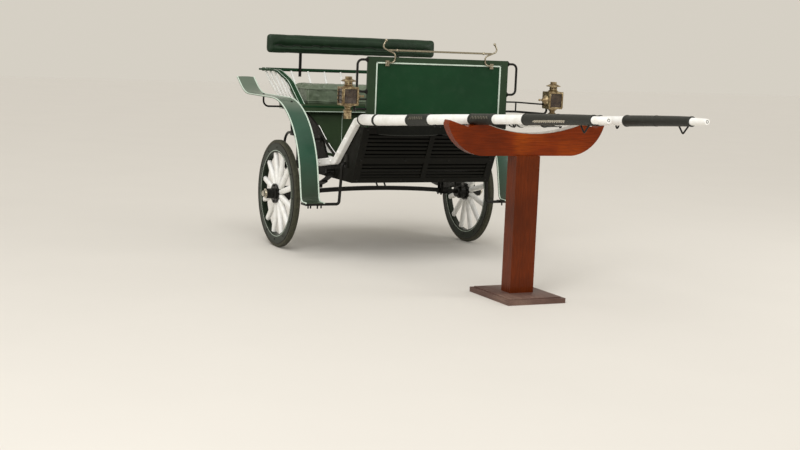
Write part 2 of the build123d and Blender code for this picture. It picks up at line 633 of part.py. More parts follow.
def make_lamp(side, sign):
    """A square candle lamp with three panes and a conical reflector, and its bracket."""
    half_x = LAMP_DEPTH / 2
    half_y = LAMP_WIDTH / 2
    at = Pos(LAMP_X, sign * LAMP_Y, 0)
    low_z = LAMP_BOTTOM_Z + LAMP_PLATE
    high_z = LAMP_ROOF_Z - LAMP_PLATE
    eaves = LAMP_EAVES
    body = Pos(0, 0, LAMP_BOTTOM_Z) * extrude(
        RectangleRounded(LAMP_DEPTH, LAMP_WIDTH, LAMP_ROUNDING), amount=LAMP_PLATE)
    body += Pos(0, 0, high_z) * extrude(
        RectangleRounded(LAMP_DEPTH + eaves, LAMP_WIDTH + eaves, LAMP_ROUNDING), amount=LAMP_PLATE)
    for px in (-half_x, half_x - LAMP_POST):
        for py in (-half_y, half_y - LAMP_POST):
            body += block(px, px + LAMP_POST, py, py + LAMP_POST, low_z, high_z)
    inboard = -sign * half_y
    wall = sorted((inboard, inboard + sign * LAMP_PLATE / 2))
    body += block(LAMP_POST - half_x, half_x - LAMP_POST, *wall, low_z, high_z)
    base, tip, length = LAMP_CONE
    rod_radius, rod_length = LAMP_KNOB_ROD
    middle_z = (low_z + high_z) / 2
    for radius, top, reach, start in ((base, tip, length, 0), (rod_radius, rod_radius, rod_length, length)):
        centre_y = inboard - sign * (start + reach / 2)
        body += Pos(0, centre_y, middle_z) * Rot(sign * 90, 0, 0) * (
            Cone(radius, top, reach) if radius != top else Cylinder(radius, reach))
    body += Pos(0, inboard - sign * (length + rod_length), middle_z) * Sphere(LAMP_KNOB_RADIUS)
    body += upright(LAMP_CROWN, LAMP_ROOF_Z)
    body += upright(LAMP_TUBE, LAMP_BOTTOM_Z)
    add(f"lamp_body_{side}", at * body)
    glass = LAMP_GLASS_THICKNESS
    inset = (LAMP_POST - glass) / 2
    pane_x = half_x - LAMP_POST
    pane_y = half_y - LAMP_POST
    panes = [block(x0, x0 + glass, -pane_y, pane_y, low_z, high_z)
             for x0 in (half_x - inset - glass, inset - half_x)]
    outboard = sorted((sign * (half_y - inset), sign * (half_y - inset - glass)))
    panes.append(block(-pane_x, pane_x, *outboard, low_z, high_z))
    add(f"lamp_glass_{side}", *[at * pane for pane in panes])
    edge = sign * BODY_HALF_WIDTH
    post_y = sign * (LAMP_Y - half_y + LAMP_POST / 2 + LAMP_ARM_RADIUS / 2)
    bend_y = sign * (BODY_HALF_WIDTH + LAMP_ARM_OUTSET)
    arm = rod(LAMP_ARM_RADIUS, LAMP_ARM_BEND, (DASH_X, edge, LAMP_ARM_Z), (DASH_X, bend_y, LAMP_ARM_Z),
              (LAMP_X, post_y, LAMP_ARM_Z), (LAMP_X, post_y, LAMP_BOTTOM_Z))
    brace_x = LAMP_X - LAMP_BRACE_BACK
    wall_y = LAMP_Y - half_y
    brace = rod(LAMP_BRACE_RADIUS, LAMP_ARM_BEND, (DASH_X, edge, LAMP_BRACE_Z),
                (DASH_X, bend_y, LAMP_BRACE_Z), (brace_x, sign * (wall_y - LAMP_ARM_BEND), LAMP_BRACE_Z),
                (brace_x, sign * wall_y, LAMP_BRACE_Z))
    tie = rod(LAMP_BRACE_RADIUS, 0, (DASH_X, bend_y, LAMP_ARM_Z), (DASH_X, bend_y, LAMP_BRACE_Z))
    add(f"lamp_arm_{side}", largest((arm + brace + tie) - NODES[f"lamp_body_{side}"]))


def arm_y(x):
    """Distance of an arm board's middle line from the carriage's middle."""
    return SEAT_HALF_WIDTH + between(ARM_PLAN, x)


def make_arm(sign):
    """A flat bentwood arm board, from its side outline and its plan."""
    path = FilletPolyline(*xz(*ARM_PATH), radius=ARM_BENDS)
    span = 2 * (arm_y(ARM_PLAN[0][0]) + ARM_WIDTH)
    start = Plane(origin=path @ 0, x_dir=(0, 1, 0), z_dir=path % 0)
    band = sweep(start * Rectangle(span, ARM_THICKNESS), path=path)
    half = ARM_WIDTH / 2
    outer = [(x, sign * (arm_y(x) + half)) for x, _ in ARM_PLAN]
    inner = [(x, sign * (arm_y(x) - half)) for x, _ in reversed(ARM_PLAN)]
    height = RAIL_Z + ARM_WIDTH - SEAT_TOP_Z
    outline = make_face(Polyline(*outer, *inner, close=True))
    plan = Pos(0, 0, SEAT_TOP_Z) * extrude(outline, amount=height, dir=(0, 0, 1))
    return path, largest(band & plan)


def make_seat():
    """Seat panel, board, cushion, rails and spindles."""
    add("seat_panel", block(SEAT_PANEL_X - SEAT_PANEL_THICKNESS, SEAT_PANEL_X, -SIDE_INNER, SIDE_INNER,
                            SILL_TOP_Z, SEAT_BOARD_Z))
    board = block(SEAT_REAR_X, SEAT_FRONT_X, -SEAT_HALF_WIDTH, SEAT_HALF_WIDTH, SEAT_BOARD_Z, SEAT_TOP_Z)
    apron_z = SEAT_BOARD_Z - SEAT_APRON_DEPTH
    board += block(SEAT_FRONT_X - SEAT_APRON_THICKNESS, SEAT_FRONT_X, -SEAT_HALF_WIDTH, SEAT_HALF_WIDTH,
                   apron_z, SEAT_BOARD_Z)
    for _, sign in SIDES:
        y0, y1 = sorted((sign * SEAT_HALF_WIDTH, sign * (SEAT_HALF_WIDTH - SEAT_APRON_THICKNESS)))
        board += block(SEAT_REAR_X, SEAT_FRONT_X, y0, y1, apron_z, SEAT_BOARD_Z)
    add("seat_board", board)
    edge = SEAT_HALF_WIDTH - CUSHION_END_MARGIN
    cushion = block(SEAT_REAR_X + CUSHION_BACK_MARGIN, SEAT_FRONT_X - CUSHION_FRONT_MARGIN, -edge, edge,
                    SEAT_TOP_Z, SEAT_TOP_Z + CUSHION_HEIGHT)
    add("seat_cushion", fillet(cushion.edges().filter_by(Axis.Y), CUSHION_ROUNDING))
    rail = rod(RAIL_RADIUS, 0, *[(BACK_RAIL_X, end * RAIL_HALF_LENGTH, RAIL_Z) for end in (-1, 1)])
    arms = {sign: make_arm(sign) for _, sign in SIDES}
    for _, arm in arms.values():
        rail += arm
    add("seat_rail", rail)
    spindles = []
    foot_x = SEAT_REAR_X + BACK_SPINDLE_INSET
    reach = (BACK_SPINDLES - 1) / 2
    foot_pitch = (SEAT_HALF_WIDTH - SEAT_APRON_THICKNESS * 3) / reach
    foot_z = SEAT_TOP_Z - SPINDLE_SINK
    for i in range(BACK_SPINDLES):
        foot = (foot_x, (i - reach) * foot_pitch, foot_z)
        top = (BACK_RAIL_X, (i - reach) * BACK_SPINDLE_PITCH, RAIL_Z)
        spindles.append(largest(rod(SPINDLE_RADIUS, 0, foot, top) - rail - board))
    add("back_spindles", *spindles)
    first_x, foot_step = SIDE_SPINDLE_FEET
    first_top, top_step = SIDE_SPINDLE_TOPS
    for side, sign in SIDES:
        path, _ = arms[sign]
        sides = []
        for i in range(SIDE_SPINDLE_COUNT):
            x, _, z = path @ (first_top + top_step * i)
            foot = (first_x + foot_step * i, sign * (SEAT_HALF_WIDTH - BACK_SPINDLE_INSET), foot_z)
            piece = bowed_rod(SPINDLE_RADIUS, foot, (x, sign * arm_y(x), z), sign * SPINDLE_BOW)
            sides.append(largest(piece - rail - board))
        add(f"side_spindles_{side}", *sides)


def make_lazyback():
    """The padded back roll on two flat stays."""
    stay_front = BACK_RAIL_X + RAIL_RADIUS + STAY_THICKNESS
    roll = None
    for low, high in ((LAZYBACK_BOTTOM_Z, LAZYBACK_SEAM_Z + LAZYBACK_SEAM_OVERLAP),
                      (LAZYBACK_SEAM_Z - LAZYBACK_SEAM_OVERLAP, LAZYBACK_TOP_Z)):
        height = high - low
        section = Pos(stay_front + LAZYBACK_DEPTH / 2, -LAZYBACK_HALF_LENGTH, (low + high) / 2) * (
            Rot(90, 0, 0) * RectangleRounded(LAZYBACK_DEPTH, height,
                                             min(height, LAZYBACK_DEPTH) * LAZYBACK_ROUNDING_SHARE))
        part = extrude(section, amount=2 * LAZYBACK_HALF_LENGTH, dir=(0, 1, 0))
        roll = part if roll is None else roll + part
    add("lazyback_pad", roll)
    stays = []
    for _, sign in SIDES:
        y = sign * LAZYBACK_STAY_Y
        stays.append(block(stay_front - STAY_THICKNESS, stay_front, y - STAY_WIDTH / 2, y + STAY_WIDTH / 2,
                           STAY_FOOT_Z, LAZYBACK_TOP_Z - STAY_TOP_MARGIN))
    add("lazyback_stays", *stays)


def fender_section():
    """Half-round beads on the edges of a strip that is flat below and a little domed above."""
    edge = FENDER_WIDTH / 2
    under = FENDER_THICKNESS / 2
    bead = edge - 2 * FENDER_BEAD
    peak = -under - FENDER_BEAD
    return make_face([
        Polyline((-edge, -under), (-edge, under), (edge, under), (edge, -under)),
        ThreePointArc((edge, -under), (edge - FENDER_BEAD, peak), (bead, -under)),
        ThreePointArc((bead, -under), (0, -under - FENDER_CROWN), (-bead, -under)),
        ThreePointArc((-bead, -under), (FENDER_BEAD - edge, peak), (-edge, -under)),
    ])


def make_fender(side, sign):
    """A winged fender, its step iron and its two stays."""
    path = FilletPolyline(*xz(*FENDER_OUTLINE), radius=FENDER_RADII)
    start = Plane(origin=path @ 0, x_dir=(0, 1, 0), z_dir=path % 0)
    fender = sweep(start * Pos(sign * WHEEL_Y, 0) * fender_section(), path=path)
    add(f"fender_{side}", fender)
    foot_z = FENDER_OUTLINE[0][1] - FENDER_THICKNESS / 2
    rod_z = foot_z - STEP_ROD_RADIUS
    iron = rod(STEP_ROD_RADIUS, STEP_BEND, (STEP_X, sign * BODY_HALF_WIDTH, STEP_TOP_Z),
               (STEP_X, sign * STEP_ROD_Y, STEP_TOP_Z), (STEP_X, sign * (STEP_ROD_Y + STEP_LEAN), rod_z),
               (STEP_X, sign * (FENDER_OUTER_Y - STEP_END_MARGIN), rod_z))
    y0, y1 = sorted((sign * (FENDER_INNER_Y - STEP_END_MARGIN), sign * FENDER_OUTER_Y))
    iron += block(STEP_X - STEP_TREAD_LENGTH / 2, STEP_X + STEP_TREAD_LENGTH / 2, y0, y1,
                  foot_z - STEP_TREAD_HEIGHT, foot_z)
    add(f"step_iron_{side}", iron)
    top = FENDER_OUTLINE[2][1]
    out = sign * (WHEEL_Y - FENDER_STAY_INSET)
    stays = []
    for x, z, foot, bend in FENDER_STAYS:
        foot_y = sign * (BODY_HALF_WIDTH + foot)
        stay = rod(FENDER_STAY_RADIUS, bend, (x, foot_y, z), (x, out, z), (x, out, top))
        stays.append(largest(stay - fender))
    add(f"fender_stays_{side}", *stays)


def shaft_loft(sign, grow):
    """One tapering round shaft, grown all round by some thickness."""
    rings = []
    last = len(SHAFT_RINGS) - 1
    for i, (x, y, z, radius) in enumerate(SHAFT_RINGS):
        before = SHAFT_RINGS[max(i - 1, 0)]
        after = SHAFT_RINGS[min(i + 1, last)]
        direction = (after[0] - before[0], sign * (after[1] - before[1]), after[2] - before[2])
        rings.append(Plane(origin=(x, sign * y, z), z_dir=direction) * Circle(radius + grow))
    return loft(rings)


def covering(sign, grow, spans, shaft):
    """Leather round a shaft over some lengths of it."""
    grown = shaft_loft(sign, grow)
    box = grown.bounding_box()
    return [(grown & block(low, high, box.min.Y, box.max.Y, box.min.Z, box.max.Z)) - shaft
            for low, high in spans]


def make_shaft(side, sign):
    """One shaft with its cranked heel, leather wraps and sleeve; returns its harness staples."""
    rear_x, rear_y, rear_z, rear_radius = SHAFT_RINGS[0]
    shaft = shaft_loft(sign, 0) + Pos(rear_x, sign * rear_y, rear_z) * Sphere(rear_radius)
    y0 = sign * HEEL_Y
    path = FilletPolyline(*[(x, y0, z) for x, z in HEEL_POINTS], radius=HEEL_BENDS)
    start = Plane(origin=path @ 0, x_dir=(0, 1, 0), z_dir=path % 0)
    shaft += sweep(start * RectangleRounded(HEEL_WIDTH, HEEL_DEPTH, HEEL_ROUNDING), path=path)
    add(f"shaft_{side}", shaft)
    wraps = covering(sign, WRAP_THICKNESS, WRAP_SPANS, shaft)
    sleeve = covering(sign, SLEEVE_THICKNESS, (SLEEVE_SPAN,), shaft)
    add(f"shaft_wraps_{side}", *wraps)
    add(f"shaft_sleeve_{side}", *sleeve)
    middle_y = [(x, y) for x, y, _, _ in SHAFT_RINGS]
    middle_z = [(x, z) for x, _, z, _ in SHAFT_RINGS]
    staples = []
    for x, length, drop in STAPLES:
        y = sign * between(middle_y, x)
        z = between(middle_z, x)
        staple = rod(STAPLE_RADIUS, STAPLE_BEND,
                     (x, y, z), (x + length / 2, y, z - drop), (x + length, y, z))
        staples.append(sorted((staple - shaft - sleeve[0]).solids(), key=lambda solid: solid.center().Z)[0])
    return staples


def make_stand():
    """The wooden stand: base, post and the cradle under both shafts."""
    add("stand_base", block(STAND_X - BASE_LENGTH / 2, STAND_X + BASE_LENGTH / 2, STAND_Y - BASE_WIDTH / 2,
                            STAND_Y + BASE_WIDTH / 2, 0, BASE_THICKNESS))
    add("stand_post", block(STAND_X - POST_DEPTH / 2, STAND_X + POST_DEPTH / 2, STAND_Y - POST_WIDTH / 2,
                            STAND_Y + POST_WIDTH / 2, BASE_THICKNESS, CRADLE_BOTTOM_Z))
    seat_y = between([(x, y) for x, y, _, _ in SHAFT_RINGS], STAND_X)
    bulge_out, bulge_up = CRADLE_BULGE
    horn_width, horn_height = CRADLE_HORN_SIZE
    foot = CRADLE_FOOT_HALF_WIDTH
    half = CRADLE_HALF_WIDTH
    inner = seat_y - CRADLE_INNER_INSET
    horn_points = (
        (foot, CRADLE_BOTTOM_Z), (foot + bulge_out, CRADLE_BOTTOM_Z + bulge_up),
        (half, CRADLE_HORN_Z - horn_height), (half - horn_width, CRADLE_HORN_Z),
    )
    seat_points = ((seat_y + CRADLE_SHOULDER_OUTSET, CRADLE_SHOULDER_Z), (inner, CRADLE_INNER_Z))
    x = STAND_X - CRADLE_DEPTH / 2
    sides = []
    for _, sign in SIDES:
        points = [(x, STAND_Y + sign * y, z) for y, z in horn_points]
        sides.append(points + [(x, sign * y, z) for y, z in seat_points])
    right, left = sides
    edges = [Line(right[0], left[0]), ThreePointArc(left[-1], (x, STAND_Y, CRADLE_MIDDLE_Z), right[-1])]
    for points in sides:
        edges.append(ThreePointArc(*points[:3]))
        edges.append(Polyline(*points[2:]))
    cradle = extrude(make_face(edges), amount=CRADLE_DEPTH, dir=(1, 0, 0))
    for _, sign in SIDES:
        wrapped = shaft_loft(sign, WRAP_THICKNESS)
        cradle -= wrapped
        cradle -= Pos(0, 0, CRADLE_LIFT) * wrapped
    add("stand_cradle", largest(cradle))


def main():
    """Build every node, centre the whole on the origin and write the files."""
    slats = []
    staples = []
    for side, sign in SIDES:
        make_wheel(side, sign)
        slats += make_body_side(side, sign)
        make_lamp(side, sign)
        make_fender(side, sign)
        staples += make_shaft(side, sign)
    add("side_slats", *slats)
    add("shaft_staples", *staples)
    make_axle()
    make_springs()
    make_frame()
    make_toe_board()
    make_dash()
    make_seat()
    make_lazyback()
    make_stand()
    boxes = [shape.bounding_box() for shape in NODES.values()]
    low_x = min(box.min.X for box in boxes)
    high_x = max(box.max.X for box in boxes)
    low_y = min(box.min.Y for box in boxes)
    high_y = max(box.max.Y for box in boxes)
    middle_x = (low_x + high_x) / 2
    middle_y = (low_y + high_y) / 2
    os.makedirs("parts", exist_ok=True)
    for name, shape in NODES.items():
        export_step(Pos(-middle_x, -middle_y, 0) * shape, f"parts/{name}.step")
    print("axle line at x", round(-middle_x, 3), "y", round(-middle_y, 3))


main()
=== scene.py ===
"""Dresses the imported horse-drawn carriage: paint, leather, brass, timber, light and camera.

X is forward, Y is the carriage's left, Z is up. Lengths are metres, and millimetres where it is said.
"""
import json
import math

import bpy
import numpy as np
from mathutils import Matrix, Vector


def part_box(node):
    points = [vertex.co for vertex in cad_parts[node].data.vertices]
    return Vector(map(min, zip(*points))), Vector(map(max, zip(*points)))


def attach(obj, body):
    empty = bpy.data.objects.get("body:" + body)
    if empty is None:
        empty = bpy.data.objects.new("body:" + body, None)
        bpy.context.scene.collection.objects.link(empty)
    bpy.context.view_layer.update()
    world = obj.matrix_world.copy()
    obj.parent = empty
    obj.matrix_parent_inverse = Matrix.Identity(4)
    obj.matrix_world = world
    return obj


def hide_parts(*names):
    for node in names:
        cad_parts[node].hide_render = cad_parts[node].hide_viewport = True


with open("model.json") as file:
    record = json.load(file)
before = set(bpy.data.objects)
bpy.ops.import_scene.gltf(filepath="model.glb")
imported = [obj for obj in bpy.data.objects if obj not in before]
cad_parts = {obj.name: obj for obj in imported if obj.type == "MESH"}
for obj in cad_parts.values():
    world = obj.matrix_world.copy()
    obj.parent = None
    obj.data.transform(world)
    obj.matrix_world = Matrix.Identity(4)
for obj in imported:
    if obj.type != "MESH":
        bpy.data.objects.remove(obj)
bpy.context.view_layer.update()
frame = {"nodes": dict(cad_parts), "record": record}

bl_info = {
    "name": "Horse-Drawn Carriage Dressing",
    "version": (1, 0, 0),
    "blender": (4, 5, 0),
    "location": "View3D > Sidebar > Carriage",
    "description": "Finishes, upholstery, lining and studio for a two-wheeled carriage",
    "category": "Object",
}

MM = 0.001
SIDES = (("right", -1), ("left", 1))
ENDS = (-1, 1)
ROOT = "root"


def middle(node):
    """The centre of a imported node's box."""
    low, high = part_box(node)
    return (low + high) / 2


AXLE_X = middle("axle").x
WHEEL_Y = middle("tyre_left").y
WHEEL_Z = middle("tyre_left").z


def mm(x, y, z):
    """A step or a size, from millimetres."""
    return Vector((x, y, z)) * MM


def at(x, y, z):
    """A place, from millimetres forward of the axle, to the left and up."""
    return Vector((AXLE_X + x * MM, y * MM, z * MM))


# Settings a user would change
def length(name, description, size):
    """A length setting, from millimetres."""
    return bpy.props.FloatProperty(name=name, description=description, default=size * MM, unit="LENGTH")


def paint_code(name, description, code):
    """A colour setting, as an sRGB hex value."""
    return bpy.props.StringProperty(name=name, description=description, default=code)


class CarriageSizes(bpy.types.PropertyGroup):
    """Sizes of what the dressing adds."""

    line_width: length("Line width", "Width of the line on the seat's apron", 4)
    edge_width: length("Fender edge", "Width of the pale edges of the fenders", 9.5)
    moulding: length("Dash moulding", "Width of the pale bead round the dash", 9)
    voxel: length("Upholstery voxel", "Size of the remesh under the leather", 6.4)
    stitch_pitch: length("Stitch pitch", "Distance between stitches of the sleeves", 14)


class CarriageColours(bpy.types.PropertyGroup):
    """Paint, leather and metal colours as sRGB hex values."""

    coach_green: paint_code("Coach green", "Dash and body paint", "10371E")
    dash_green: paint_code("Dash green", "Greyer frame of the dash", "2A3C29")
    # Greyed green: the grey sheen of light reflected off the varnish is painted into this colour
    sheen_greyed_seat_green: paint_code("Seat green", "Apron and panel of the seat", "36462F")
    fender_green: paint_code("Fender green", "Fender enamel", "264C3A")
    lining: paint_code("Lining", "Pale painted lines", "CFDFD0")
    felloe: paint_code("Felloe green", "Wheel rims", "1A2418")
    white: paint_code("White", "Shafts, spokes and spindles", "FBFBF8")
    # Lighter than the lazyback's leather: painted light, the light and highlights on the cushion's top taken
    # into its colour
    leather: paint_code("Leather", "Seat leather", "586551")
    back_leather: paint_code("Back leather", "Lazyback leather", "182C1B")
    strap: paint_code("Strap leather", "Wraps and sleeves", "1C1F19")
    brass: paint_code("Brass", "Lamps", "8F7C5E")
    mahogany: paint_code("Mahogany", "Cradle of the stand", "7E2E05")
    post: paint_code("Post", "Post of the stand", "6A2A07")
    base_plank: paint_code("Base plank", "Foot of the stand", "6D544B")


def sizes():
    """The size settings of this scene."""
    return bpy.context.scene.carriage_sizes


def colours():
    """The colour settings of this scene."""
    return bpy.context.scene.carriage_colours


# Material helpers
def srgb(code):
    """A hex colour as linear red, green, blue and alpha."""
    values = [int(code[i:i + 2], 16) / 255 for i in (0, 2, 4)]
    return [v / 12.92 if v <= 0.04045 else ((v + 0.055) / 1.055) ** 2.4 for v in values] + [1.0]


def shade(code, factor):
    """A darker or lighter linear colour from a hex colour."""
    return [min(1.0, channel * factor) for channel in srgb(code)[:3]] + [1.0]


def linear(value):
    """A linear colour from a hex code or a grey number. Anything else stays as it is."""
    if isinstance(value, str):
        return srgb(value)
    return [value, value, value, 1] if isinstance(value, (int, float)) else value


def add_node(tree, kind, inputs=None, **settings):
    """Add a shader node, set its fields, and link its inputs or set their values."""
    node = tree.nodes.new("ShaderNode" + kind)
    for key, value in settings.items():
        setattr(node, key, value)
    for name, value in (inputs or {}).items():
        if isinstance(value, bpy.types.NodeSocket):
            tree.links.new(value, node.inputs[name])
        else:
            node.inputs[name].default_value = value
    return node


class Finish:
    """A node material in the making, on object coordinates."""

    def __init__(self, name, inputs=None):
        self.material = bpy.data.materials.new(name)
        self.material.use_nodes = True
        self.tree = self.material.node_tree
        self.tree.nodes.clear()
        self.shader = self.add("BsdfPrincipled", inputs)
        self.add("OutputMaterial", {"Surface": self.shader.outputs["BSDF"]})
        self.place = self.add("TexCoord").outputs["Object"]
        self.normal = None

    def add(self, kind, inputs=None, **settings):
        """Add a node to this material."""
        return add_node(self.tree, kind, inputs, **settings)

    def noise(self, size, detail=4.0, rough=0.55, stretch=(1, 1, 1)):
        """Noise whose features are about size metres across."""
        mapped = self.add("Mapping", {"Vector": self.place, "Scale": stretch}).outputs["Vector"]
        return self.add("TexNoise", {"Vector": mapped, "Scale": 1 / size, "Detail": detail,
                                     "Roughness": rough}).outputs["Fac"]

    def cells(self, size, **settings):
        """Distances in a pattern of cells about size metres across."""
        inputs = {"Vector": self.place, "Scale": 1 / size}
        return self.add("TexVoronoi", inputs, **settings).outputs["Distance"]

    def ramp(self, source, *stops):
        """Colours or greys along a value, as (position, colour) stops."""
        node = self.add("ValToRGB", {"Fac": source})
        elements = node.color_ramp.elements
        while len(elements) < len(stops):
            elements.new(0.5)
        for element, (position, colour) in zip(elements, stops):
            element.position = position
            element.color = linear(colour)
        return node.outputs["Color"]

    def feed(self, socket, source):
        """Link an input of the shader."""
        self.tree.links.new(source, self.shader.inputs[socket])

    def drive(self, socket, source, *stops):
        """Drive an input of the shader by a ramp along a value."""
        self.feed(socket, self.ramp(source, *stops))

    def mix(self, factor, first, second):
        """Mix two colours by a factor."""
        return self.add("Mix", {0: factor, 6: linear(first), 7: linear(second)}, data_type="RGBA").outputs[2]

    def number(self, operation, *values):
        """A sum on numbers or on other nodes' outputs."""
        return self.add("Math", dict(enumerate(values)), operation=operation).outputs[0]

    def band(self, value, centre, width):
        """1 where a value lies within a band, and 0 elsewhere."""
        return self.number("COMPARE", value, centre, width / 2)

    def axis(self, letter):
        """One object coordinate as a number."""
        return self.add("SeparateXYZ", {"Vector": self.place}).outputs[letter]

    def aside(self):
        """Distance from the carriage's middle plane."""
        return self.number("ABSOLUTE", self.axis("Y"))

    def bump(self, height, depth, strength):
        """Raise the surface by a height pattern of a depth in millimetres, over any bump before it."""
        inputs = {"Height": height, "Distance": depth * MM, "Strength": strength}
        if self.normal:
            inputs["Normal"] = self.normal
        self.normal = self.add("Bump", inputs).outputs["Normal"]
        self.feed("Normal", self.normal)


# Painted lines
ARM_SPLAY = ((-590, 116), (-350, 70), (-200, 34), (-40, -10))  # mm from the axle, mm outside the seat board


def edge_lines(mat):
    """Pale edges of the fenders, by distance from the carriage's middle."""
    width = sizes().edge_width
    low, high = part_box("fender_left")
    aside = mat.aside()
    inner = mat.band(aside, low.y + width / 2, width)
    outer = mat.band(aside, high.y - width / 2, width)
    return mat.number("MAXIMUM", inner, outer)


def felloe_lines(mat):
    """A thin ring near the inner edge of each felloe."""
    low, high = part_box("felloe_left")
    ahead = mat.number("SUBTRACT", mat.axis("X"), AXLE_X)
    up = mat.number("SUBTRACT", mat.axis("Z"), WHEEL_Z)
    squares = [mat.number("MULTIPLY", value, value) for value in (ahead, up)]
    reach = mat.number("SQRT", mat.number("ADD", *squares))
    return mat.band(reach, (high.z - low.z) / 2 - 48 * MM, 3 * MM)


def apron_line(mat):
    """A thin line along the foot of the seat's apron."""
    low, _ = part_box("seat_board")
    return mat.band(mat.axis("Z"), low.z + 5 * MM, sizes().line_width)


def arm_lines(mat):
    """Pale lines along both edges of the arm boards, which splay outward to the rear."""
    _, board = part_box("seat_board")
    rear, front = ARM_SPLAY[0][0], ARM_SPLAY[-1][0]
    share = mat.add("MapRange", {"Value": mat.axis("X"), "From Min": AXLE_X + rear * MM,
                                 "From Max": AXLE_X + front * MM}).outputs["Result"]
    line = mat.ramp(share, *(((x - rear) / (front - rear), board.y + out * MM) for x, out in ARM_SPLAY))
    off = mat.number("ABSOLUTE", mat.number("SUBTRACT", mat.aside(), line))
    return mat.band(off, 17.5 * MM, 4 * MM)


def panel_lines(mat):
    """Two thin upright lines on the panel below the seat."""
    return mat.band(mat.aside(), 230 * MM, 3 * MM)


# Materials
def painted_top_reflection_dark_foot(mat, body):
    """Darker towards the foot of the fenders, and a painted reflection that pales the enamel high up, over
    the top and the tail.
    """
    height = mat.axis("Z")
    # Darker towards the bottom
    body = mat.mix(mat.ramp(height, (0.34, 0.95), (0.66, 0.0)), body, "2E3527")
    # Painted reflection: the enamel pales above the top of the fender and up its tail
    return mat.mix(mat.ramp(height, (0.92, 0.0), (1.08, 0.5)), body, "7A8473")


def coach_paint(name, code, lines=None, shine=0.15, coat=0.06, reflection_and_dark_foot=False):
    """Varnished coach enamel: deep colour under a clear gloss, a trace of dust, any pale lining, and, on the
    fenders, a painted reflection high up over a darker foot.
    """
    mat = Finish(name, {"Specular IOR Level": shine, "Coat Weight": coat, "Coat Roughness": 0.1})
    body = mat.ramp(mat.noise(0.3, 3), (0.3, shade(code, 0.86)), (0.7, shade(code, 1.14)))
    dust = mat.noise(0.06, 5, 0.6)
    body = mat.mix(mat.ramp(dust, (0.5, 0.0), (0.9, 0.05)), body, "6E7A6C")
    # Painted reflection high on the fenders, and darker towards their foot
    if reflection_and_dark_foot:
        body = painted_top_reflection_dark_foot(mat, body)
    if lines:
        worn = mat.ramp(mat.noise(0.012, 4), (0.3, 0.7), (0.5, 1.0))
        body = mat.mix(mat.number("MULTIPLY", lines(mat), worn), body, colours().lining)
    mat.feed("Base Color", body)
    mat.drive("Roughness", dust, (0.35, 0.3), (0.75, 0.44))
    mat.bump(mat.noise(0.0022, 2, 0.5, (0.06, 0.06, 1)), 0.15, 0.3)
    return mat


def white_paint(name, code):
    """Gloss white oil paint on ash: brush drag along the grain, faintly yellowed hollows and a few chips."""
    mat = Finish(name)
    cloud = mat.noise(0.05, 5, 0.6)
    body = mat.ramp(cloud, (0.28, "EDECE5"), (0.55, code))
    chips = mat.ramp(mat.noise(0.009, 3, 0.7), (0.735, 0), (0.75, 1))
    mat.feed("Base Color", mat.mix(chips, body, "8A7A62"))
    mat.drive("Roughness", cloud, (0.3, 0.5), (0.7, 0.3))
    mat.bump(mat.noise(0.003, 3, 0.5, (0.08, 1, 1)), 0.3, 0.3)
    return mat


def black_paint(name, code="0C0C09", rough=0.42, shine=0.25):
    """Brushed black paint over forged iron or timber: near black, with a little brown where it is thin."""
    mat = Finish(name, {"Specular IOR Level": shine})
    patch = mat.noise(0.03, 6, 0.65)
    mat.drive("Base Color", patch, (0.35, code), (0.66, "14130E"), (0.88, "2B261C"))
    mat.drive("Roughness", patch, (0.3, rough - 0.1), (0.8, rough + 0.18))
    mat.bump(mat.noise(0.004, 4, 0.6), 0.4, 0.3)
    return mat


def tyre_rubber(name):
    """Moulded solid rubber, greyed by age and floor dust, with fine scuffs round the tread."""
    mat = Finish(name, {"Roughness": 0.6, "Specular IOR Level": 0.3})
    mat.drive("Base Color", mat.noise(0.018, 6, 0.65), (0.35, "2A2B20"), (0.75, "4C4B39"))
    mat.bump(mat.noise(0.002, 3), 0.4, 0.35)
    return mat


def cowhide(name, code, shine):
    """Chrome-tanned cowhide, dyed dark green: pebbled grain, soft creases and a waxy sheen on the crowns."""
    mat = Finish(name, {"Specular IOR Level": shine})
    cloud = mat.noise(0.08, 5, 0.6)
    mat.drive("Base Color", cloud, (0.3, shade(code, 0.75)), (0.7, shade(code, 1.35)))
    mat.drive("Roughness", cloud, (0.3, 0.34), (0.75, 0.5))
    mat.bump(mat.cells(2.2 * MM), 0.25, 0.35)
    mat.bump(mat.noise(0.028, 5, 0.62, (1, 0.45, 1)), 3, 0.5)
    return mat


def strap_leather(name, code, rubbed, shine=0.5):
    """Vegetable-tanned strap leather, blackened, stretched round the wood and cracked across the wrap."""
    mat = Finish(name, {"Specular IOR Level": shine})
    patch = mat.noise(0.03, 6, 0.7)
    mat.drive("Base Color", patch, (0.3, shade(code, 0.6)), (0.6, code), (0.82, rubbed))
    mat.drive("Roughness", patch, (0.3, 0.4), (0.8, 0.68))
    mat.bump(mat.cells(7 * MM, feature="DISTANCE_TO_EDGE"), 0.6, 0.5)
    mat.bump(mat.noise(0.02, 4, 0.6, (0.5, 1, 1)), 3, 0.6)
    return mat


def lamp_brass(name, code):
    """Spun and soldered sheet brass, long unpolished: brown-grey tarnish, pale only where hands rub it."""
    mat = Finish(name, {"Metallic": 0.85})
    patch = mat.noise(0.022, 6, 0.65)
    mat.drive("Base Color", patch, (0.3, "54462F"), (0.5, code), (0.68, "D2C49C"))
    mat.drive("Roughness", patch, (0.3, 0.5), (0.75, 0.26))
    mat.bump(mat.noise(0.006, 3), 0.4, 0.4)
    return mat


def nickel_plate(name, dull, bright):
    """Polished nickel plate, a little yellow, with fine rub marks."""
    mat = Finish(name, {"Metallic": 1.0})
    patch = mat.noise(0.01, 5, 0.6)
    mat.drive("Base Color", patch, (0.3, dull), (0.7, bright))
    mat.drive("Roughness", patch, (0.3, 0.34), (0.7, 0.18))
    return mat


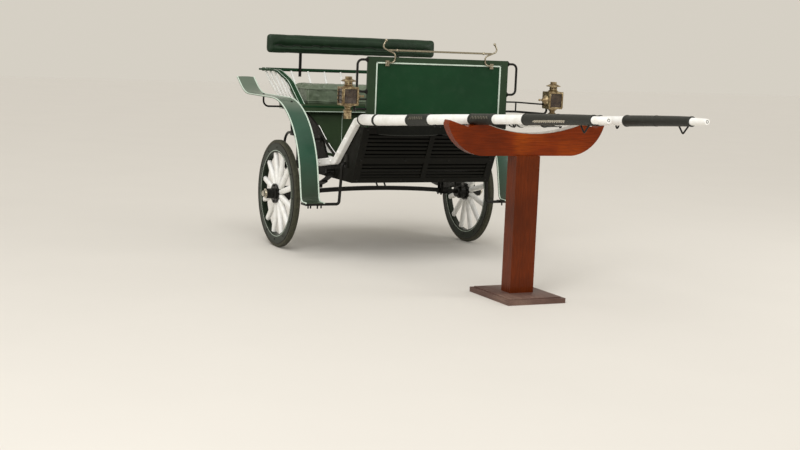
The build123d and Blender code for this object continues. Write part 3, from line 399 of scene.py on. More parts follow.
def lamp_pane(name):
    """Bevelled plate glass, tinted dark brown as painted shade of the closed lamp's dark inside."""
    mat = Finish(name, {"Transmission Weight": 0.6, "IOR": 1.5})
    shade_and_smear = mat.noise(0.02, 4)
    # Painted shade: the brown tint darkens the panes as the lamp's dark inside would
    mat.drive("Base Color", shade_and_smear, (0.35, "6E5C4C"), (0.7, "3A2C28"))
    mat.drive("Roughness", shade_and_smear, (0.4, 0.02), (0.8, 0.16))
    return mat


def varnished_wood(name, code, light, along, rough=0.22):
    """Planed and varnished hardwood: faint ribbons of colour and short dark pores along the grain."""
    mat = Finish(name, {"Specular IOR Level": 0.12, "Coat Weight": 0.05, "Coat Roughness": 0.08})
    body = mat.ramp(mat.noise(0.34, 3, 0.5), (0.3, shade(code, 0.62)), (0.52, code), (0.74, light))
    ribbon = mat.noise(0.035, 4, 0.6, along)
    body = mat.mix(mat.ramp(ribbon, (0.35, 0.3), (0.65, 0.0)), body, shade(code, 0.5))
    pore = mat.noise(0.004, 3, 0.6, along)
    mat.feed("Base Color", mat.mix(mat.ramp(pore, (0.4, 0.4), (0.56, 0.0)), body, shade(code, 0.3)))
    mat.drive("Roughness", ribbon, (0.3, rough), (0.7, rough + 0.12))
    mat.bump(pore, 0.2, 0.25)
    return mat


def mottled(name, inputs, cloud, dark, light):
    """A finish that wanders between two colours, by the settings of its noise."""
    mat = Finish(name, inputs)
    mat.drive("Base Color", mat.noise(*cloud), (0.3, dark), (0.7, light))
    return mat


def painted_line(name, code):
    """Lining paint drawn by hand: pale, thin and slightly uneven."""
    return mottled(name, {"Roughness": 0.4}, (0.03, 5), shade(code, 0.75), code)


def candle_wax(name):
    """Cast stearin, slightly translucent, yellowed at the wick."""
    return mottled(name, {"Subsurface Weight": 0.2, "Roughness": 0.45}, (0.012, 4), "D9CDAE", "EFE8D4")


def thread(name, dark, light):
    """Waxed linen thread, greyed by handling."""
    return mottled(name, {"Roughness": 0.7}, (0.004, 4), dark, light)


def cradle_highlight(name):
    """A pale grey strip with the nap of felt: painted highlight along the top of the cradle."""
    mat = mottled(name, {"Roughness": 0.9, "Sheen Weight": 0.3}, (0.03, 6, 0.7), "7D766C", "B4ADA2")
    mat.bump(mat.noise(0.0015, 3), 0.5, 0.5)
    return mat


MATERIALS = {}
NODE_FINISHES = {
    "fender_right": "fender_lined",
    "fender_left": "fender_lined",
    "felloe_right": "felloe_lined",
    "felloe_left": "felloe_lined",
    "seat_board": "apron_lined",
    "seat_rail": "arm_lined",
    "seat_panel": "panel_lined",
    "rein_rail": "rail_nickel",
    "dash_frame": "dash_green",
    "stand_cradle": "cradle_wood",
}


def make_materials():
    """Every finish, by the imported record's slot or by its own name."""
    c = colours()
    MATERIALS.update({
        "coach_green": coach_paint("Coach varnish green", c.coach_green),
        "fender_lined": coach_paint("Sheet steel enamel with pale edges", c.fender_green, edge_lines,
                                    0.35, 0.22, reflection_and_dark_foot=True),
        "dash_green": coach_paint("Dash frame varnish greyer green", c.dash_green),
        "felloe_lined": coach_paint("Felloe varnish with a ring", c.felloe, felloe_lines),
        # Apron and panel: their greyer green holds a painted reflection of the varnish's sheen
        "apron_lined": coach_paint("Seat apron varnish with a line", c.sheen_greyed_seat_green, apron_line, 0.3),
        "arm_lined": coach_paint("Bentwood arm varnish with lines", c.coach_green, arm_lines),
        "panel_lined": coach_paint("Seat panel varnish with lines", c.sheen_greyed_seat_green, panel_lines, 0.3),
        "shaft_white": white_paint("Ash shaft gloss white", c.white),
        "wheel_white": white_paint("Ash spoke gloss white", c.white),
        "spindle_white": white_paint("Turned spindle gloss white", c.white),
        "black_iron": black_paint("Forged iron black paint"),
        "slat_black": black_paint("Slat timber black paint", "090A06", 0.52, 0.13),
        "hub_black": black_paint("Nave black enamel", "0B0B09", 0.3, 0.3),
        "tyre_rubber": tyre_rubber("Solid tyre rubber"),
        # Seat cowhide, lightened by painted light from the cushion's lit top; the lazyback keeps the darker
        # green
        "seat_leather": cowhide("Seat cowhide lightened by painted light", c.leather, 0.7),
        "back_leather": cowhide("Lazyback cowhide dark green", c.back_leather, 0.28),
        "leather_wrap": strap_leather("Strap leather blackened", c.strap, "5B5A4C"),
        "lamp_brass": lamp_brass("Spun lamp brass", c.brass),
        "hub_nickel": nickel_plate("Nickel plated cap", "A39C8C", "D8D4C8"),
        "rail_nickel": nickel_plate("Rein rail worn nickel", "7D7462", "B5AD98"),
        "valance_leather": strap_leather("Valance leather blackened", "0B0D08", "1C1E17", 0.12),
        "lamp_pane": lamp_pane("Bevelled lamp glass darkened as painted shade"),
        "stand_wood": varnished_wood("Varnished mahogany post", c.post, "782F06", (1, 1, 0.05)),
        "cradle_wood": varnished_wood("Varnished mahogany cradle", c.mahogany, "A04706", (1, 0.05, 1)),
        "base_wood": varnished_wood("Scuffed plank varnish", c.base_plank, "8E7466", (0.06, 1, 1), 0.45),
        "lining": painted_line("Pale lining paint", c.lining),
        "candle_wax": candle_wax("Stearin candle"),
        "thread": thread("Waxed linen thread", "6F6A5A", "A9A48F"),
        "lace_cord": thread("Waxed lacing cord blackened", "2E2C24", "8A8674"),
        "cradle_highlight": cradle_highlight("Pale strip of painted highlight"),
    })


def paint(piece, key):
    """Give a piece one finish."""
    piece.data.materials.clear()
    piece.data.materials.append(MATERIALS[key].material)


class CARRIAGE_OT_paint_frame(bpy.types.Operator):
    """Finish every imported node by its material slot"""

    bl_idname = "carriage.paint_frame"
    bl_label = "Paint the carriage"

    def execute(self, context):
        make_materials()
        for part in frame["record"]["subparts"]:
            piece = frame["nodes"][part["node"]]
            paint(piece, NODE_FINISHES.get(part["node"], part["material_slot"]))
            choose(piece)
            bpy.ops.object.shade_smooth_by_angle(angle=math.radians(32))
        return {"FINISHED"}


# Modelling helpers
BAR_EDGES = {}


def deselect():
    """Select nothing."""
    bpy.ops.object.select_all(action="DESELECT")


def choose(piece):
    """Select one piece alone."""
    deselect()
    piece.select_set(True)
    bpy.context.view_layer.objects.active = piece


def named(name):
    """Name the active object and its mesh."""
    piece = bpy.context.view_layer.objects.active
    piece.name = name
    piece.data.name = name
    return piece


def settle(piece):
    """Put a piece's place in its mesh, with its object at the origin."""
    choose(piece)
    bpy.ops.object.transform_apply(location=True, rotation=True, scale=True)


def tidy(piece):
    """Merge doubled points and turn every face outward."""
    choose(piece)
    bpy.ops.object.mode_set(mode="EDIT")
    bpy.ops.mesh.select_all(action="SELECT")
    bpy.ops.mesh.remove_doubles(threshold=0.01 * MM)
    bpy.ops.mesh.normals_make_consistent(inside=False)
    bpy.ops.object.mode_set(mode="OBJECT")


def finish_piece(piece, key, body=ROOT, smooth=32):
    """Settle, smooth, paint and ride a new piece."""
    settle(piece)
    bpy.ops.object.shade_smooth_by_angle(angle=math.radians(smooth))
    paint(piece, key)
    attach(piece, body)


def join(pieces, name):
    """Join pieces into one mesh."""
    choose(pieces[0])
    for piece in pieces:
        piece.select_set(True)
    if len(pieces) > 1:
        bpy.ops.object.join()
    return named(name)


def apply_modifier(piece, kind, **settings):
    """Add a modifier and apply it."""
    choose(piece)
    modifier = piece.modifiers.new(kind.title(), kind)
    for key, value in settings.items():
        setattr(modifier, key, value)
    bpy.ops.object.modifier_apply(modifier=modifier.name)


def rounded_block(name, low, high, bevel=2.0, segments=2, cuts=0):
    """A block between two corners, with edges rounded by a bevel in millimetres, or cut up for the cloth."""
    deselect()
    low, high = Vector(low), Vector(high)
    bpy.ops.mesh.primitive_cube_add(size=1, location=(low + high) / 2)
    piece = named(name)
    piece.scale = [abs(value) for value in high - low]
    settle(piece)
    bpy.ops.object.mode_set(mode="EDIT")
    bpy.ops.mesh.select_all(action="SELECT")
    if cuts:
        bpy.ops.mesh.subdivide(number_cuts=cuts)
    else:
        bpy.ops.mesh.bevel(offset=bevel * MM, segments=segments, affect="EDGES")
    bpy.ops.object.mode_set(mode="OBJECT")
    return piece


def block(name, centre, halves, bevel=2.0):
    """A rounded block about its centre, from half its sizes in millimetres."""
    reach = mm(*halves)
    return rounded_block(name, centre - reach, centre + reach, bevel)


def turned(name, profile, segments=20):
    """A lathe-turned solid along Z, from (radius, height) steps in millimetres."""
    deselect()
    radius, height = profile[0]
    bpy.ops.mesh.primitive_circle_add(vertices=segments, radius=radius * MM, fill_type="NGON",
                                      location=(0, 0, 0))
    piece = named(name)
    bpy.ops.object.mode_set(mode="EDIT")
    bpy.ops.mesh.select_all(action="SELECT")
    bpy.ops.transform.translate(value=(0, 0, height * MM))
    for step_radius, step_height in profile[1:]:
        rise = (0, 0, (step_height - height) * MM)
        bpy.ops.mesh.extrude_region_move(TRANSFORM_OT_translate={"value": rise})
        factor = step_radius / radius
        bpy.ops.transform.resize(value=(factor, factor, 1), center_override=(0, 0, step_height * MM))
        radius, height = step_radius, step_height
    bpy.ops.object.mode_set(mode="OBJECT")
    tidy(piece)
    return piece


def stamp(template, spots, name):
    """Copy a Z-aligned piece to places and axes, and join the copies."""
    copies = []
    for place, axis in spots:
        piece = template.copy()
        piece.data = template.data.copy()
        bpy.context.scene.collection.objects.link(piece)
        turn = Vector(axis).to_track_quat("Z", "Y").to_matrix().to_4x4()
        piece.matrix_world = Matrix.Translation(place) @ turn
        copies.append(piece)
    bpy.data.objects.remove(template)
    piece = join(copies, name)
    settle(piece)
    return piece


def tube(name, points, radius, closed=False, round_line=True):
    """A round wire or cord along a line through points, as a mesh."""
    deselect()
    bpy.ops.curve.primitive_nurbs_path_add(location=(0, 0, 0))
    piece = named(name)
    curve = piece.data
    curve.splines.clear()
    spline = curve.splines.new("NURBS" if round_line else "POLY")
    spline.points.add(len(points) - 1)
    for point, place in zip(spline.points, points):
        point.co = (*place, 1)
    spline.use_cyclic_u = closed
    if round_line:
        spline.order_u = 3
        spline.use_endpoint_u = not closed
    spline.resolution_u = 6
    curve.dimensions = "3D"
    curve.bevel_depth = radius
    curve.bevel_resolution = 2
    curve.use_fill_caps = True
    choose(piece)
    bpy.ops.object.convert(target="MESH")
    tidy(piece)
    return piece


def sheet_piece(name, columns, rows, shape, thickness):
    """A thin sheet whose points are given by two shares from 0 to 1."""
    deselect()
    bpy.ops.mesh.primitive_grid_add(x_subdivisions=columns, y_subdivisions=rows, size=1, location=(0, 0, 0))
    piece = named(name)
    for vertex in piece.data.vertices:
        vertex.co = shape(vertex.co.x + 0.5, vertex.co.y + 0.5)
    apply_modifier(piece, "SOLIDIFY", thickness=thickness, offset=0)
    tidy(piece)
    return piece


def bar_edges(node):
    """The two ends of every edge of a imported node, as arrays of points."""
    if node not in BAR_EDGES:
        mesh = frame["nodes"][node].data
        spots = np.empty(len(mesh.vertices) * 3)
        mesh.vertices.foreach_get("co", spots)
        ends = np.empty(len(mesh.edges) * 2, dtype=int)
        mesh.edges.foreach_get("vertices", ends)
        BAR_EDGES[node] = spots.reshape(-1, 3)[ends.reshape(-1, 2)]
    return BAR_EDGES[node]


def section(node, x):
    """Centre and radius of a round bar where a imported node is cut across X."""
    first, second = bar_edges(node).transpose(1, 0, 2)
    met = (first[:, 0] - x) * (second[:, 0] - x) < 0
    first, second = first[met], second[met]
    share = (x - first[:, 0]) / (second[:, 0] - first[:, 0])
    points = first + (second - first) * share[:, None]
    low, high = points.min(axis=0), points.max(axis=0)
    return Vector((low + high) / 2), (high[2] - low[2]) / 2


def along(node, x):
    """Direction of a round bar at a place."""
    ahead, _ = section(node, x + 20 * MM)
    behind, _ = section(node, x - 20 * MM)
    return (ahead - behind).normalized()


def beside(node, x, sign, angle, gap):
    """A place outside a round bar, at degrees up from level and a gap in millimetres, and its direction."""
    centre, radius = section(node, x)
    turn = math.radians(angle)
    out = Vector((0, sign * math.cos(turn), math.sin(turn)))
    return centre + out * (radius + gap * MM), out


def inflate(piece, cap, pressure=4.0, frames=20):
    """Swell a closed form with air pressure, outward only, and cap how far each point moves."""
    apply_modifier(piece, "REMESH", mode="VOXEL", voxel_size=sizes().voxel)
    start = [(v.co.copy(), v.normal.copy()) for v in piece.data.vertices]
    cloth = piece.modifiers.new("Cloth", "CLOTH")
    cloth.settings.use_pressure = True
    cloth.settings.uniform_pressure_force = pressure
    cloth.settings.effector_weights.gravity = 0
    scene = bpy.context.scene
    for step in range(1, frames + 1):
        scene.frame_set(step)
    choose(piece)
    bpy.ops.object.modifier_apply(modifier=cloth.name)
    scene.frame_set(1)
    for vertex, (first, normal) in zip(piece.data.vertices, start):
        move = vertex.co - first
        move -= normal * min(0.0, move.dot(normal))
        if move.length > cap:
            move *= cap / move.length
        vertex.co = first + move


def crease(piece, size, depth):
    """Wrinkle a leather piece with a soft cloud pattern."""
    clouds = bpy.data.textures.new(piece.name + "_creases", "CLOUDS")
    clouds.noise_scale = size
    clouds.noise_depth = 3
    apply_modifier(piece, "DISPLACE", texture=clouds, strength=depth, mid_level=0.5, texture_coords="LOCAL")


def welt(piece, name, points, radius, closed=True):
    """A sewn cord that lies on a padded piece."""
    line = []
    for point in points:
        _, near, normal, _ = piece.closest_point_on_mesh(point)
        line.append(near + normal * radius * 0.3)
    return tube(name, line, radius, closed=closed)


def loop_round(low, high, z, inset, steps=14):
    """Points round a rectangle at one height, with rounded corners."""
    points = []
    corners = ((high.x - inset, high.y - inset, 0), (low.x + inset, high.y - inset, 90),
               (low.x + inset, low.y + inset, 180), (high.x - inset, low.y + inset, 270))

    def rim(corner, extra):
        """A point on a corner's arc, by degrees past its start."""
        x, y, start = corner
        angle = math.radians(start + extra)
        return Vector((x + inset * math.cos(angle), y + inset * math.sin(angle), z))
    for corner, following in zip(corners, corners[1:] + corners[:1]):
        points += [rim(corner, 30 * j) for j in range(4)]
        last, goal = points[-1], rim(following, 0)
        points += [last.lerp(goal, (j + 1) / (steps + 1)) for j in range(steps)]
    return points


# Upholstery
GROOVE_DEPTH, GROOVE_SPREAD, GROOVE_FADE = 15 * MM, 15 * MM, 44 * MM


class CARRIAGE_OT_seat_cushion(bpy.types.Operator):
    """Stuffed leather seat cushion with sewn welts"""

    bl_idname = "carriage.seat_cushion"
    bl_label = "Seat cushion"

    def execute(self, context):
        low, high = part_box("seat_cushion")
        piece = rounded_block("cushion_leather", low + mm(20, 20, 1), high - mm(20, 20, 20), cuts=10)
        inflate(piece, cap=24 * MM)
        crease(piece, 0.09, 13 * MM)
        crease(piece, 0.03, 4 * MM)
        apply_modifier(piece, "SUBSURF", levels=1, render_levels=1)
        finish_piece(piece, "seat_leather", smooth=60)
        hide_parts("seat_cushion")
        tall = high.z - low.z
        for name, share in (("cushion_welt_low", 0.16), ("cushion_welt_high", 0.84)):
            cord = welt(piece, name, loop_round(low, high, low.z + share * tall, 30 * MM), 4 * MM)
            finish_piece(cord, "seat_leather", smooth=60)
        return {"FINISHED"}


class CARRIAGE_OT_lazyback(bpy.types.Operator):
    """Padded back: one fat stuffed roll with a long sewn groove"""

    bl_idname = "carriage.lazyback"
    bl_label = "Lazyback"

    def execute(self, context):
        low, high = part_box("lazyback_pad")
        swell = mm(10, 7, 6)
        piece = rounded_block("lazyback_leather", low + swell, high - swell, bevel=26, segments=5)
        inflate(piece, cap=11 * MM, pressure=3.0)
        crease(piece, 0.11, 5 * MM)
        crease(piece, 0.03, 1.5 * MM)
        apply_modifier(piece, "SUBSURF", levels=1, render_levels=1)
        seam = low.z + 0.41 * (high.z - low.z)
        reach = high.y - 62 * MM
        self.groove(piece, seam, reach, (low.x + high.x) / 2)
        finish_piece(piece, "back_leather", smooth=60)
        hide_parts("lazyback_pad")
        line = [Vector((high.x, y, seam)) for y in np.linspace(-reach, reach, 60)]
        cord = welt(piece, "lazyback_seam", line, 2.4 * MM, closed=False)
        finish_piece(cord, "leather_wrap", smooth=60)
        return {"FINISHED"}

    def groove(self, piece, seam, reach, middle_x):
        """Pull the leather in along the seam, front and back, and fade the groove out at its ends."""
        for vertex in piece.data.vertices:
            spot = vertex.co
            fade = min(1.0, max(0.0, (reach - abs(spot.y)) / GROOVE_FADE + 0.5))
            pull = math.exp(-((spot.z - seam) / GROOVE_SPREAD) ** 2)
            spot.x -= math.copysign(GROOVE_DEPTH * fade * pull, spot.x - middle_x)


# Fasteners: (radius, height) steps as shares of the head's radius
ROUND_HEAD = ((1.35, 0), (1.35, 0.2), (1.0, 0.25), (0.96, 0.5), (0.75, 0.75), (0.35, 0.9))
HEX_NUT = ((1.0, 0), (1.0, 0.6), (0.85, 0.75), (0.5, 0.75), (0.5, 1.3), (0.4, 1.4))


def turnings(name, profile, scale, spots, key, body=ROOT, segments=14):
    """Copies of one turned form, such as a bolt head, finished as one piece."""
    template = turned("template", [(radius * scale, height * scale) for radius, height in profile], segments)
    finish_piece(stamp(template, spots, name), key, body)


# Dash and lamps, in millimetres, with turned forms as (radius, height) steps
RAIL_FOOT_Y, RAIL_FOOT_Z = 368, 1270
ROSETTE = ((16, -1), (16, 3), (12, 6), (9.5, 7), (9.5, 12), (8, 14))
LAMP_Y = 712
LAMP_HALF_LENGTH, LAMP_HALF_WIDTH = 42, 52
GRILLE_PITCH = 24
VENT = ((4, -0.5), (4, 0.6), (2, 0.7))
VENT_Z, VENT_REACH = 1148, 24
CANDLE_CUP = ((22, 0), (22, 3), (12, 8), (11, 28), (14, 32), (11, 34))
CANDLE = ((9.5, 20), (9.5, 62), (8, 66), (2, 67), (1.2, 67), (1.2, 76))
REFLECTOR = ((36, 0), (36, 2), (24, 7), (12, 5), (5, 4))


class CARRIAGE_OT_dash_trim(bpy.types.Operator):
    """Pale bead round the dash, handle rosettes and the screws of the rein rail"""

    bl_idname = "carriage.dash_trim"
    bl_label = "Dash trim"

    def execute(self, context):
        low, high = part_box("dash_frame")
        panel_low, panel_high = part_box("dash_panel")
        width = sizes().moulding
        bars = []
        for face, edge in ((panel_high.x, high.x + 1 * MM), (panel_low.x, low.x - 1 * MM)):
            for y in (panel_low.y, panel_high.y - width):
                bars.append(rounded_block("bead", (face, y, panel_low.z), (edge, y + width, panel_high.z)))
            for z in (panel_low.z, panel_high.z - width):
                bars.append(rounded_block("bead", (face, panel_low.y, z), (edge, panel_high.y, z + width)))
        finish_piece(join(bars, "dash_bead"), "lining")
        rosettes = []
        for side, sign in SIDES:
            handle_low, handle_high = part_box(f"dash_handle_{side}")
            for z in (handle_low.z + 7.5 * MM, handle_high.z - 7.5 * MM):
                rosettes.append((Vector(((low.x + high.x) / 2, sign * high.y, z)), (0, sign, 0)))
        turnings("handle_rosettes", ROSETTE, 1, rosettes, "black_iron", segments=20)
        screws = [(Vector((high.x, 0, 0)) + mm(5, sign * (RAIL_FOOT_Y + end * 9), RAIL_FOOT_Z), (1, 0, 0))
                  for _, sign in SIDES for end in ENDS]
        turnings("rein_rail_screws", ROUND_HEAD, 3.4, screws, "hub_nickel")
        return {"FINISHED"}


class CARRIAGE_OT_lamp_trim(bpy.types.Operator):
    """Bezels, grille bars, candle and reflector of each lamp"""

    bl_idname = "carriage.lamp_trim"
    bl_label = "Lamp trim"

    def execute(self, context):
        for side, sign in SIDES:
            low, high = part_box(f"lamp_glass_{side}")
            centre = Vector(((low.x + high.x) / 2, sign * LAMP_Y * MM, (low.z + high.z) / 2))
            self.bezels(side, sign, centre, (high.z - low.z) / 2 / MM)
            bars = []
            for i in (-1, 0, 1):
                reach, face = LAMP_HALF_LENGTH - 7, sign * (LAMP_HALF_WIDTH + 2)
                ends = [centre + mm(end * reach, face, i * GRILLE_PITCH) for end in ENDS]
                bars.append(tube("bar", ends, 2.6 * MM, round_line=False))
            finish_piece(join(bars, f"lamp_grille_{side}"), "black_iron")
            vents = []
            for turn in np.radians(range(0, 360, 45)):
                out = Vector((math.cos(turn), math.sin(turn), 0))
                vents.append((Vector((centre.x, centre.y, VENT_Z * MM)) + out * VENT_REACH * MM, out))
            turnings(f"lamp_vents_{side}", VENT, 1, vents, "hub_black", segments=10)
            for name, profile, key, slot in (("cup", CANDLE_CUP, "lamp_brass", None),
                                             ("candle", CANDLE, "candle_wax", "wheel_white")):
                piece = turned(f"lamp_{name}_{side}", profile)
                piece.location = (centre.x, centre.y, low.z)
                finish_piece(piece, key)
            back = [(centre - mm(0, sign * (LAMP_HALF_WIDTH - 4), 0), (0, sign, 0))]
            turnings(f"lamp_reflector_{side}", REFLECTOR, 1, back, "hub_nickel", segments=20)
        return {"FINISHED"}

    def bezels(self, side, sign, centre, tall):
        """Frames round the three panes of a lamp, half their height given, and the ears of its handle."""
        _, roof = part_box(f"lamp_body_{side}")
        half, wide = LAMP_HALF_LENGTH, LAMP_HALF_WIDTH
        spots = []
        for end in ENDS:
            for edge in ENDS:
                spots.append(((end * half, edge * (wide - 9), 0), (2, 3, tall)))
                spots.append(((end * half, 0, edge * (tall - 3)), (2, wide - 8, 3)))
            spots.append(((end * (half - 9), sign * wide, 0), (3, 2, tall)))
            spots.append(((0, sign * wide, end * (tall - 3)), (half - 8, 2, 3)))
        bars = [block("bezel", centre + mm(*place), halves, 1.2) for place, halves in spots]
        top = Vector((centre.x, centre.y, roof.z))
        bars += [block("ear", top + mm(0, end * 17, -6.5), (3, 5, 6.5)) for end in ENDS]
        finish_piece(join(bars, f"lamp_bezels_{side}"), "lamp_brass")


# Shafts: places in millimetres forward of the axle, angles in degrees
SHAFT_RINGS = ((1437, 5.5), (1628, 5.5), (2014, 5.5), (2222, 5.5),  # place, and rise over the wood
               (2515, 7), (2800, 6.4), (3105, 7))
SLEEVE_STITCHES = (2535, 3090)
STITCH = ((0.5, -4), (1.1, -3), (1.1, 3), (0.5, 4))
STITCH_ANGLES = (-108, -72)
LACED_WRAPS = ((1468, 1598), (2040, 2196))
LACING_STEPS, LACING_ANGLE, LACING_SWING = 13, 18, 13
TWIST_START, TWIST_LENGTH, TWIST_TURNS, TWIST_STEPS = 2630, 270, 7, 64
SHAFT_HEEL, HEEL_LEAN = 960, 24
HEEL_BOLTS = ((260, 594), (440, 621), (560, 688), (668, 783), (765, 869))  # place, and height
SHAFT_TIP = 3226
TIP_PLUG = ((0.6, 0), (0.6, 5.5), (0.4, 7), (0.3, 5.5))  # share of the shaft's radius, and height


class CARRIAGE_OT_shaft_trim(bpy.types.Operator):
    """Leather rings, stitches, lacing, twisted wire, heel straps and bolts of the shafts"""

    bl_idname = "carriage.shaft_trim"
    bl_label = "Shaft trim"

    def execute(self, context):
        for side, sign in SIDES:
            node = f"shaft_{side}"
            rings = []
            for x, rise in SHAFT_RINGS:
                place, radius = section(node, AXLE_X + x * MM)
                size = radius / MM + rise
                ring = turned("ring", ((size - 1.5, -5), (size, -3), (size, 3), (size - 1.5, 5)), 28)
                rings.append(stamp(ring, [(place, along(node, place.x))], "ring"))
            finish_piece(join(rings, f"shaft_rings_{side}"), "leather_wrap")
            self.stitches(side, sign, node)
            self.lacing(side, sign, node)
            self.heel(side, sign, node)
            self.twist(side, sign, node)
            tip, radius = section(node, AXLE_X + SHAFT_TIP * MM)
            plug = [(radius / MM * share, height) for share, height in TIP_PLUG]
            end = [(tip, along(node, tip.x - 30 * MM))]
            turnings(f"shaft_plug_{side}", plug, 1, end, "hub_black", segments=20)
        return {"FINISHED"}

    def stitches(self, side, sign, node):
        """Two rows of saddle stitches under the sleeve."""
        pitch = sizes().stitch_pitch
        start, end = (AXLE_X + x * MM for x in SLEEVE_STITCHES)
        spots = []
        for i in range(int((end - start) / pitch)):
            x = start + i * pitch
            spots += [(beside(node, x, sign, angle, 5.2)[0], along(node, x)) for angle in STITCH_ANGLES]
        turnings(f"sleeve_stitches_{side}", STITCH, 1, spots, "thread", segments=6)

    def lacing(self, side, sign, node):
        """Lacing that draws the wraps together on their outer side."""
        lines = []
        for start, end in LACED_WRAPS:
            points = []
            for i, x in enumerate(np.linspace(start, end, LACING_STEPS)):
                angle = LACING_ANGLE + (LACING_SWING if i % 2 else -LACING_SWING)
                points.append(beside(node, AXLE_X + x * MM, sign, angle, 5)[0])
            lines.append(tube("lace", points, 2.4 * MM, round_line=False))
        finish_piece(join(lines, f"wrap_lacing_{side}"), "lace_cord")

    def heel(self, side, sign, node):
        """Strap round the rear end of the shaft, and the bolts that hold its heel to the body."""
        near, radius = section(node, AXLE_X + SHAFT_HEEL * MM)
        ahead, _ = section(node, AXLE_X + (SHAFT_HEEL + 40) * MM)
        lean = math.radians(HEEL_LEAN)
        back = Vector((-math.cos(lean), 0, -math.sin(lean)))
        size = radius / MM
        collar = ((size, -5), (size + 4.5, -3), (size + 4.5, 3), (size, 5))
        rear = [(near.lerp(ahead, -35 / 40) + back * 7 * MM, back)]
        turnings(f"heel_strap_{side}", collar, 1, rear, "black_iron", segments=32)
        _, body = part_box("body_side_left")
        outer = body.y / MM + 40
        bolts = [(at(x, sign * outer, z), (0, sign, 0)) for x, z in HEEL_BOLTS]
        turnings(f"heel_bolts_{side}", ROUND_HEAD, 7, bolts, "shaft_white")

    def twist(self, side, sign, node):
        """Twisted wire bound along the outer side of the sleeve."""
        strands = []
        for phase in (0, math.pi):
            points = []
            for i in range(TWIST_STEPS + 1):
                x = TWIST_START + TWIST_LENGTH * i / TWIST_STEPS
                centre, out = beside(node, AXLE_X + x * MM, sign, -18, 9.5)
                spin = phase + 2 * math.pi * TWIST_TURNS * i / TWIST_STEPS
                points.append(centre + (Vector((0, 0, math.sin(spin))) + out * math.cos(spin)) * 4.2 * MM)
            strands.append(tube("strand", points, 3.4 * MM))
        finish_piece(join(strands, f"twisted_wire_{side}"), "hub_nickel")


# Wheels and springs, in millimetres
FELLOE_BOLTS, FLANGE_NUTS = 12, 6
SHACKLE_EYE = (401.9, 529.4)  # ahead of and behind the axle, and height
CLIP_FOOT, CLIP_TOP = -54, 40  # ends of the U-bolts, above the foot of the spring
LEAF_RADIUS = 892.5
MIDDLE_STAY = ((-8, 398), (-60, 450), (-104, 508))  # place from the axle, and height


def round_wheel(centre, count, reach):
    """Places round a wheel's axis."""
    turns = [2 * math.pi * i / count for i in range(count)]
    return [centre + Vector((math.sin(turn), 0, math.cos(turn))) * reach for turn in turns]


class CARRIAGE_OT_wheel_trim(bpy.types.Operator):
    """Felloe bolts, flange nuts and rim edges, which turn with the wheels"""

    bl_idname = "carriage.wheel_trim"
    bl_label = "Wheel trim"

    def execute(self, context):
        low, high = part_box("felloe_left")
        rim = (high.z - low.z) / 2
        face = (high.y - low.y) / 2
        for side, sign in SIDES:
            body = f"wheel_{side}"
            centre = Vector((AXLE_X, sign * WHEEL_Y, WHEEL_Z))
            bolts = [(place + Vector((0, edge * face, 0)), (0, edge, 0))
                     for place in round_wheel(centre, FELLOE_BOLTS, rim - 26 * MM) for edge in ENDS]
            turnings(f"felloe_bolts_{side}", ROUND_HEAD, 4.5, bolts, "hub_black", body, 10)
            nuts = [(place + mm(0, sign * 32.5, 0), (0, sign, 0))
                    for place in round_wheel(centre, FLANGE_NUTS, 52 * MM)]
            turnings(f"flange_nuts_{side}", HEX_NUT, 6.5, nuts, "black_iron", body, 6)
            edges = []
            for edge in ENDS:
                deselect()
                bpy.ops.mesh.primitive_torus_add(
                    location=centre + Vector((0, edge * (face - 1.5 * MM), 0)), rotation=(math.pi / 2, 0, 0),
                    major_radius=rim, minor_radius=3 * MM, major_segments=96, minor_segments=8)
                edges.append(named("rim_edge"))
            finish_piece(join(edges, f"rim_edges_{side}"), "black_iron", body, smooth=60)
        return {"FINISHED"}


